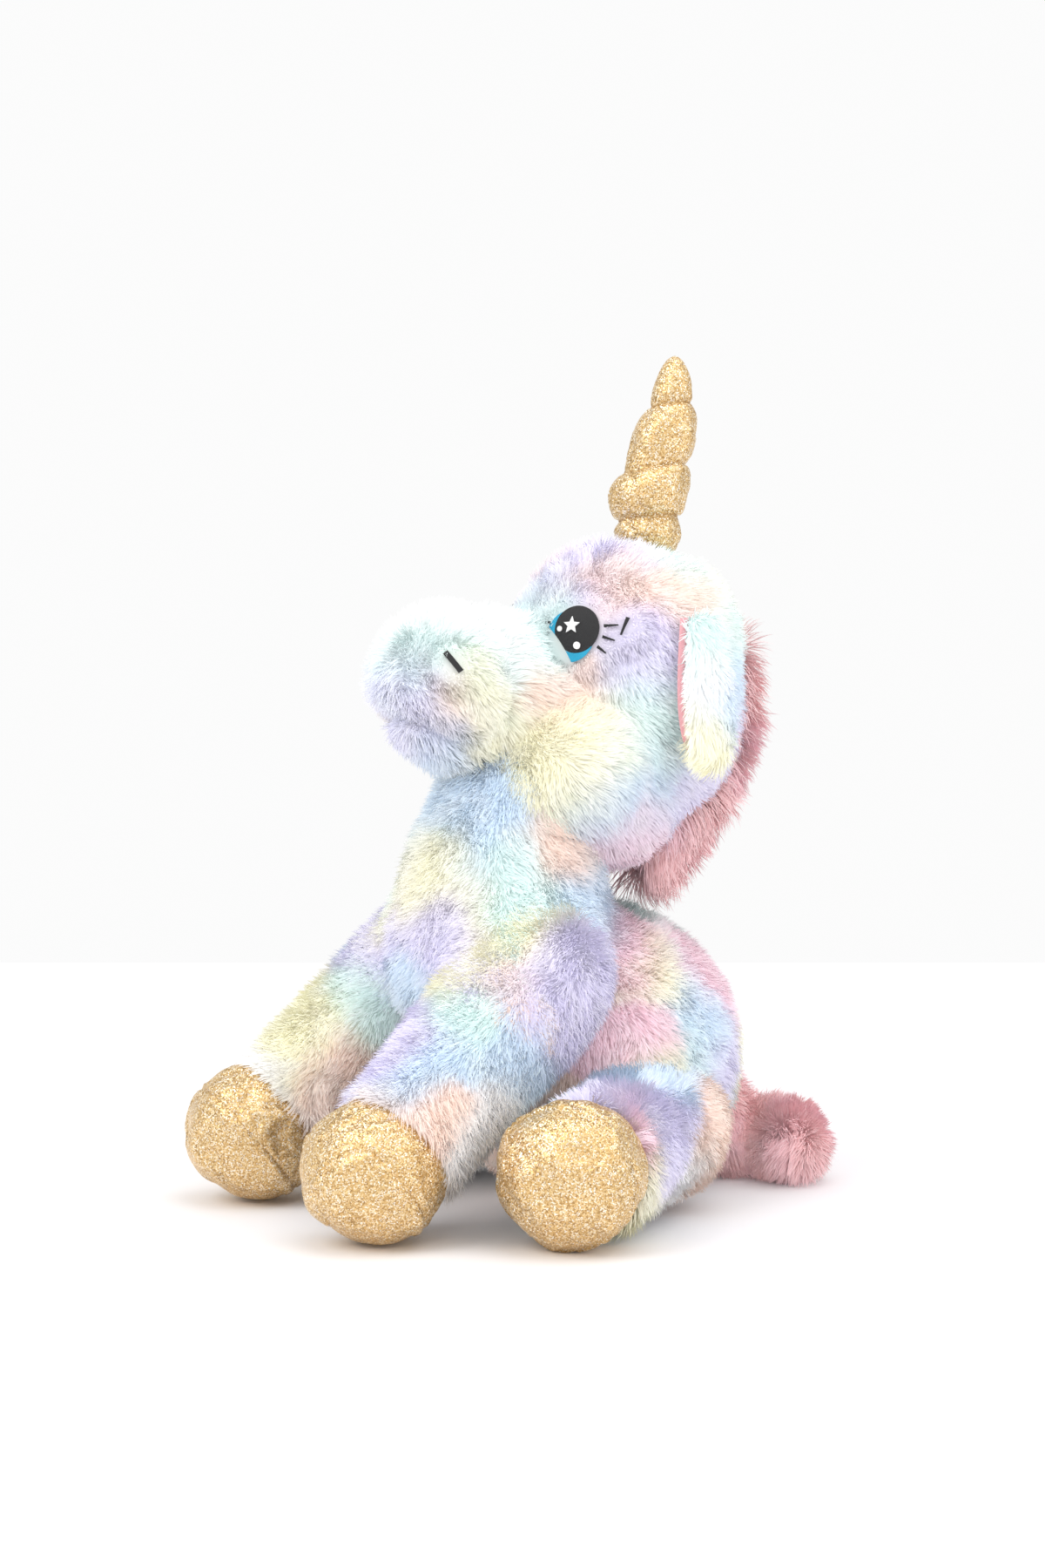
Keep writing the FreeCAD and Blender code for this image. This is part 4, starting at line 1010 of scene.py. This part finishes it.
def make_mane():
    """Long coral pile down the back of the head and behind the neck, on a strip of its own."""
    rows, columns = 60, 30
    centre = np.array((0, 49, 226))
    angle = np.radians(np.linspace(-84, 22, rows))
    across = np.linspace(-1, 1, columns)
    spread = MANE_HALF * (0.55 + 0.45 * np.sin(np.linspace(0.12, 1, rows) * math.pi * 0.62))
    angle_grid, across_grid = np.meshgrid(angle, across, indexing="ij")
    half = np.repeat(spread[:, None], columns, axis=1)
    ways = np.stack([across_grid * half / 62, np.cos(angle_grid), np.sin(angle_grid)], axis=-1)
    ways = unit(ways.reshape(-1, 3))
    points = np.concatenate([
        skin_points(mane_shape, lambda points: np.full(points.shape[:-1], depth), centre, ways)
        for depth in MANE_CLOTH])
    faces = []
    count = rows * columns
    for a, b, c, d in grid_cells(rows, columns):
        faces += [(d, c, b, a), (count + a, count + b, count + c, count + d)]
    edge = [*range(columns), *range(2 * columns - 1, count, columns),
            *range(count - 2, count - columns - 1, -1), *range(count - 2 * columns, 0, -columns)]
    for start, end in zip(edge, edge[1:] + edge[:1]):
        faces.append((start, end, count + end, count + start))
    # painted shade: the mane's backing is darkened under its pile
    strip = make_piece("mane_backing", points, faces, coral_backing, coral(points) * CORAL_CLOTH_PAINTED_SHADE)
    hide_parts("mane")
    coat = lay_coat("mane_pile", strip, 2.3, mane_length, mane_comb, 0.95, coral, coral_fur, 95,
                    tuft=6.0, pull=0.62, width=1.1, unrest=0.9,
                    keep=lambda roots: mane_shape(roots) > -4.6)
    for piece in (strip, coat):
        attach(piece, "head")


# ---------------------------------------------------------------- horn

HORN_CINCHES = (0.17, 0.42, 0.75)
HORN_PUFFS = ((18.0, 0.45), (14.5, 0.42), (9.5, 0.2))
HORN_SWAY = 3.0     # how far the horn's middle leans off its axis
HORN_ASIDE = np.array((0.5, 0.866, 0))
CINCH_SLANT = 4.2   # how much lower a cinch is on one side than in the middle
CINCH_TURN = 2.2    # where round the horn a cinch is lowest, in radians


def horn_sway(along):
    """How far the winding has pulled the horn to one side at each height."""
    low = np.exp(-((along - 27) / 11) ** 2)
    high = np.exp(-((along - 70) / 16) ** 2)
    return HORN_SWAY * (0.5 * high - low)


def cinch_slant(along, around):
    """How much lower a cinch is at each angle; it is level at the horn's root and tip."""
    return CINCH_SLANT * np.cos(around) * np.clip(along / 20, 0, 1) * np.clip((84 - along) / 30, 0, 1)


def horn_radius(along, around):
    """Radius of the horn: a root and three puffs, drawn in at slanting cinches."""
    slanted = along + cinch_slant(along, around)
    stops = [HORN_HEIGHT * share for share in HORN_CINCHES] + [HORN_HEIGHT]
    radius = 13.0 + 2.2 * np.sin(np.clip(slanted / stops[0], 0, 1) * math.pi)
    for number, (full, crown) in enumerate(HORN_PUFFS):
        start, stop = stops[number], stops[number + 1]
        last = number == len(HORN_PUFFS) - 1
        after = 2.3 if last else HORN_PUFFS[number + 1][0] * 0.8
        share = np.clip((slanted - start) / (stop - start), 0, 1)
        rising = full * (0.8 + 0.2 * np.sqrt(np.clip(1 - (1 - share / crown) ** 2, 0, 1)))
        past = np.clip((share - crown) / (1 - crown), 0, 1)
        kept = 1 - past ** 1.8 if last else np.sqrt(1 - past ** 2)
        puff = np.where(share < crown, rising, after + (full - after) * kept)
        radius = np.where(slanted > start, puff, radius)
    return radius


def make_horn():
    """Glitter cloth of the horn, stuffed between the threads that are wound round it."""
    way = np.array((0, math.sin(HORN_LEAN), math.cos(HORN_LEAN)))
    across, up = np.array((1.0, 0, 0)), np.cross(way, np.array((1.0, 0, 0)))
    rings, around = 110, 72
    stations = np.linspace(2, HORN_HEIGHT - 0.6, rings)
    angles = np.linspace(0, 2 * math.pi, around, endpoint=False)
    along, turn = np.meshgrid(stations, angles, indexing="ij")
    end = np.clip((HORN_HEIGHT - along) / 3.0, 0, 1)
    radii = (horn_radius(along, turn + CINCH_TURN) - 0.35) * np.sqrt(1 - (1 - end) ** 2)
    middle = HORN_ROOT + along[..., None] * way + horn_sway(along)[..., None] * HORN_ASIDE
    spread = np.cos(turn)[..., None] * across + np.sin(turn)[..., None] * up
    creases = 0.35 * np.sin(turn * 9 + along * 0.3) * (noise(middle + 9 * spread, 7, 15) - 0.3)
    points = (middle + (radii + creases * np.clip(radii / 8, 0, 1))[..., None] * spread).reshape(-1, 3)
    faces = [(r * around + s, r * around + (s + 1) % around,
              (r + 1) * around + (s + 1) % around, (r + 1) * around + s)
             for r in range(rings - 1) for s in range(around)]
    points = np.concatenate([points, [HORN_ROOT + way * 2], [HORN_ROOT + way * (HORN_HEIGHT - 0.2)]])
    last = (rings - 1) * around
    faces += [(len(points) - 2, (s + 1) % around, s) for s in range(around)]
    faces += [(len(points) - 1, last + s, last + (s + 1) % around) for s in range(around)]
    cover = make_piece("horn_cloth", points, faces, glitter)
    cinched = [HORN_HEIGHT * share for share in HORN_CINCHES]
    along = (points - HORN_ROOT) @ way
    held = np.max([np.exp(-((along - at) / 3.5) ** 2) for at in cinched] + [(along < 6) * 1.0], axis=0)
    inflate(cover, np.clip(held, 0, 1), cap=0.8)
    settle(cover, "horn", "horn_cover")
    shrunken("horn_filling", cover, 1.2, "horn", "horn_stuffing")
    make_winding(way, across, up)


THREAD_RADIUS = 0.45


def make_winding(way, across, up):
    """Gold thread drawn tight round each cinch."""
    turns, around = 90, 8
    points, faces = [], []
    for share in HORN_CINCHES:
        angles = np.linspace(0, 2 * math.pi, turns, endpoint=False)
        level = HORN_HEIGHT * share
        heights = level - cinch_slant(level, angles + CINCH_TURN)
        radii = horn_radius(heights, angles + CINCH_TURN) - 0.1
        spread = np.cos(angles)[:, None] * across + np.sin(angles)[:, None] * up
        ring = (HORN_ROOT + heights[:, None] * way + radii[:, None] * spread
                + horn_sway(heights)[:, None] * HORN_ASIDE)
        start = len(points)
        for number in range(turns):
            for side in range(around):
                turn = 2 * math.pi * side / around
                aside = math.cos(turn) * spread[number] + math.sin(turn) * way
                points.append(ring[number] + THREAD_RADIUS * aside)
        for number in range(turns):
            for side in range(around):
                after, beside = (number + 1) % turns, (side + 1) % around
                faces.append((start + number * around + side, start + after * around + side,
                              start + after * around + beside, start + number * around + beside))
    thread = make_piece("horn_thread", np.array(points), faces, gold_thread)
    settle(thread, "horn", "horn_winding_thread")


# ---------------------------------------------------------------- ears

def ear_leaf(side, width_share, thickness, shift, bow):
    """A hanging leaf of cloth, rounded at its tip and cupped along its length."""
    rows, columns = 40, 20
    down = np.array((side * math.sin(EAR_SPLAY), 0, -math.cos(EAR_SPLAY)))
    out = np.array((side * math.cos(EAR_SPLAY), 0, math.sin(EAR_SPLAY)))
    share = np.sin(np.linspace(0, 1, rows) * math.pi / 2)
    width = (7.5 + 5.5 * np.sin(share * math.pi * 0.72)) * np.sqrt(np.clip(1 - share ** 7, 0.004, 1))
    width = width * width_share
    across = np.linspace(-1, 1, columns)
    along_grid, across_grid = np.meshgrid(share * EAR_LENGTH * 0.94, across, indexing="ij")
    cup = bow * (1 - across_grid ** 2) + 1.2 * np.sin(along_grid / EAR_LENGTH * math.pi)
    swell = thickness * np.sqrt(np.clip(1 - across_grid ** 4, 0, 1))
    wide = (across_grid * width[:, None])[..., None] * np.array((0, 1.0, 0))
    middle = sided(EAR_ROOT, side) + sided(shift, side) + along_grid[..., None] * down + wide
    outer = middle + (cup + swell / 2)[..., None] * out
    inner = middle + (cup - swell / 2)[..., None] * out
    points = np.concatenate([outer.reshape(-1, 3), inner.reshape(-1, 3)])
    count = rows * columns
    faces = []
    for a, b, c, d in grid_cells(rows, columns):
        square, back = (a, b, c, d), (count + d, count + c, count + b, count + a)
        faces += [square, back] if side < 0 else [square[::-1], back[::-1]]
    for column in range(columns - 1):
        for row in (0, rows - 1):
            a, b = row * columns + column, row * columns + column + 1
            rim = (b, a, count + a, count + b)
            faces.append(rim if (row == 0) == (side < 0) else rim[::-1])
    for row in range(rows - 1):
        for column in (0, columns - 1):
            a, b = row * columns + column, (row + 1) * columns + column
            rim = (a, b, count + b, count + a)
            faces.append(rim if (column == 0) == (side < 0) else rim[::-1])
    return points, faces


def ear_fur_length(roots):
    return 6.0 + 3.5 * step_up(EAR_ROOT[2] - roots[:, 2], 40, 66)


def ear_comb(roots, normals):
    return -UP


def make_ear(side_name, side):
    """Furry outer leaf and satin lining of one ear."""
    body = f"ear_{side_name}"
    points, faces = ear_leaf(side, 0.86, 3.2, (-0.5, 1.0, 0), 1.5)
    # painted shade: the ear's backing is darkened under its fur
    dye_with_painted_shade = dye(points, EAR_SPOTS) * EAR_CLOTH_PAINTED_SHADE
    outer = make_piece(f"{body}_outer_cloth", points, faces, backing, dye_with_painted_shade)
    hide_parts(f"{body}_outer")
    lining = make_piece(f"{body}_satin", *ear_leaf(side, 0.93, 1.2, (-3.4, -1.2, 0), 0.8), pink_satin)
    settle(lining, body, f"{body}_lining")

    def outside(roots):
        return roots[:, 0] * side > EAR_ROOT[0] - 2 + (EAR_ROOT[2] - roots[:, 2]) * 0.12

    coat = lay_coat(f"{body}_fur", outer, 4.0, ear_fur_length, ear_comb, 0.5,
                    lambda roots: dye(roots, EAR_SPOTS), fur, 101 + side, tuft=3.2, keep=outside)
    for piece in (outer, coat):
        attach(piece, body)


# ---------------------------------------------------------------- small parts

def finish_cad_parts():
    """Stitches and hidden fillings whose CAD shape is right get their own materials."""
    stitches = {"pupil": black_thread, "iris": blue_thread, "highlights": white_thread,
                "lashes": black_thread}
    materials = {"seat_bean_bag": bead_bag}
    for side_name, _ in SIDES:
        for part, material in stitches.items():
            materials[f"eye_{side_name}_{part}"] = material
        materials[f"brow_{side_name}"] = black_thread
        materials[f"nostril_{side_name}"] = black_thread
    for node, material in materials.items():
        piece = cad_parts[node]
        piece.data.materials.clear()
        piece.data.materials.append(material)


LABEL_LENGTH, LABEL_WIDTH, LABEL_THICKNESS = 22.0, 14.0, 0.5


def make_label():
    """A blank care label, sewn in at the back and slightly curled."""
    low, high = (np.array(corner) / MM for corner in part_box("care_label"))
    middle = (low + high) / 2
    out = unit((middle - np.array(HIPS[0])) * np.array((1, 1, 0)))
    rows, columns = 18, 8
    along, across = np.meshgrid(np.linspace(-0.5, 0.5, rows), np.linspace(-0.5, 0.5, columns), indexing="ij")
    bend = 1.2 * np.sin(along * math.pi * 1.3)
    aside = np.cross(out, UP)
    sheet = (middle + along[..., None] * LABEL_LENGTH * out + bend[..., None] * aside
             + across[..., None] * LABEL_WIDTH * UP)
    points = np.concatenate([(sheet + aside * LABEL_THICKNESS / 2).reshape(-1, 3),
                             (sheet - aside * LABEL_THICKNESS / 2).reshape(-1, 3)])
    count = rows * columns
    faces = []
    for a, b, c, d in grid_cells(rows, columns):
        faces += [(a, b, c, d), (count + d, count + c, count + b, count + a)]
    label = make_piece("care_label_cloth", points, faces, label_cloth)
    settle(label, "body", "care_label")


# ---------------------------------------------------------------- stage

VIEW_TARGET = Vector((0, -0.004, 0.186))
VIEW_AZIMUTH, VIEW_PITCH, VIEW_DISTANCE = math.radians(60), math.radians(3.9), 1.5
FLOOR_BEHIND, FLOOR_REACH = 0.87, 4.0   # the paper's reach behind the toy, and the other ways
SKY_LIGHT, SKY_SHOWN = 0.84, 0.97       # how strongly the sky lights the toy, and how bright it shows


def view_back():
    """Direction from the toy to the camera."""
    return Vector((math.sin(VIEW_AZIMUTH) * math.cos(VIEW_PITCH),
                   -math.cos(VIEW_AZIMUTH) * math.cos(VIEW_PITCH), math.sin(VIEW_PITCH)))


def make_stage():
    """White paper on the floor, which ends behind the toy where the photo's paper ends."""
    ahead = view_back()
    ahead.z = 0
    ahead.normalize()
    aside = Vector((-ahead.y, ahead.x, 0))
    corners = ((FLOOR_REACH, -FLOOR_REACH), (FLOOR_REACH, FLOOR_REACH),
               (-FLOOR_BEHIND, FLOOR_REACH), (-FLOOR_BEHIND, -FLOOR_REACH))
    mesh = bpy.data.meshes.new("paper")
    mesh.from_pydata([tuple(ahead * along + aside * across) for along, across in corners], [], [(0, 1, 2, 3)])
    paper = finish_mesh("paper", mesh, plain_stage_material("white_paper"))


def add_light(name, place, size, power, tint=(1, 1, 1)):
    lamp = bpy.data.lights.new(name, "AREA")
    lamp.shape = "DISK"
    lamp.size = size
    lamp.energy = power
    lamp.color = tint
    thing = bpy.data.objects.new(name, lamp)
    thing.location = place
    thing.rotation_euler = (VIEW_TARGET - Vector(place)).to_track_quat("-Z", "Y").to_euler()
    bpy.context.scene.collection.objects.link(thing)


def make_lights():
    """A big soft light above and to the left of the camera, a fill and even light all round."""
    add_light("key", (0.2, -1.7, 1.7), 1.6, 20, (1, 0.99, 0.98))
    add_light("top", (0.5, 0.3, 2.2), 2.0, 16)
    add_light("fill", (2.2, 0.8, 0.9), 1.6, 9)
    world = bpy.data.worlds.new("studio")
    world.use_nodes = True
    nodes, links = world.node_tree.nodes, world.node_tree.links
    sky = nodes["Background"]
    sky.inputs["Color"].default_value = (1, 1, 1, 1)
    ray = nodes.new("ShaderNodeLightPath")
    strength = add_range(nodes, links, ray.outputs["Is Camera Ray"], SKY_LIGHT, SKY_SHOWN)
    links.new(strength, sky.inputs["Strength"])
    bpy.context.scene.world = world
    bpy.context.scene.view_settings.view_transform = "Standard"


def make_camera():
    camera = bpy.data.cameras.new("camera")
    camera.lens = 77.55
    camera.sensor_width = 36
    thing = bpy.data.objects.new("camera", camera)
    thing.location = VIEW_TARGET + view_back() * VIEW_DISTANCE
    thing.rotation_euler = (-view_back()).to_track_quat("-Z", "Y").to_euler()
    bpy.context.scene.collection.objects.link(thing)
    bpy.context.scene.camera = thing


# ---------------------------------------------------------------- the whole scene

make_camera()
make_stage()
make_lights()
make_torso()
make_head()
for kind in LEGS:
    for side_name, side in SIDES:
        make_leg(kind, side_name, side)
make_tail()
make_mane()
make_horn()
for side_name, side in SIDES:
    make_ear(side_name, side)
make_label()
finish_cad_parts()
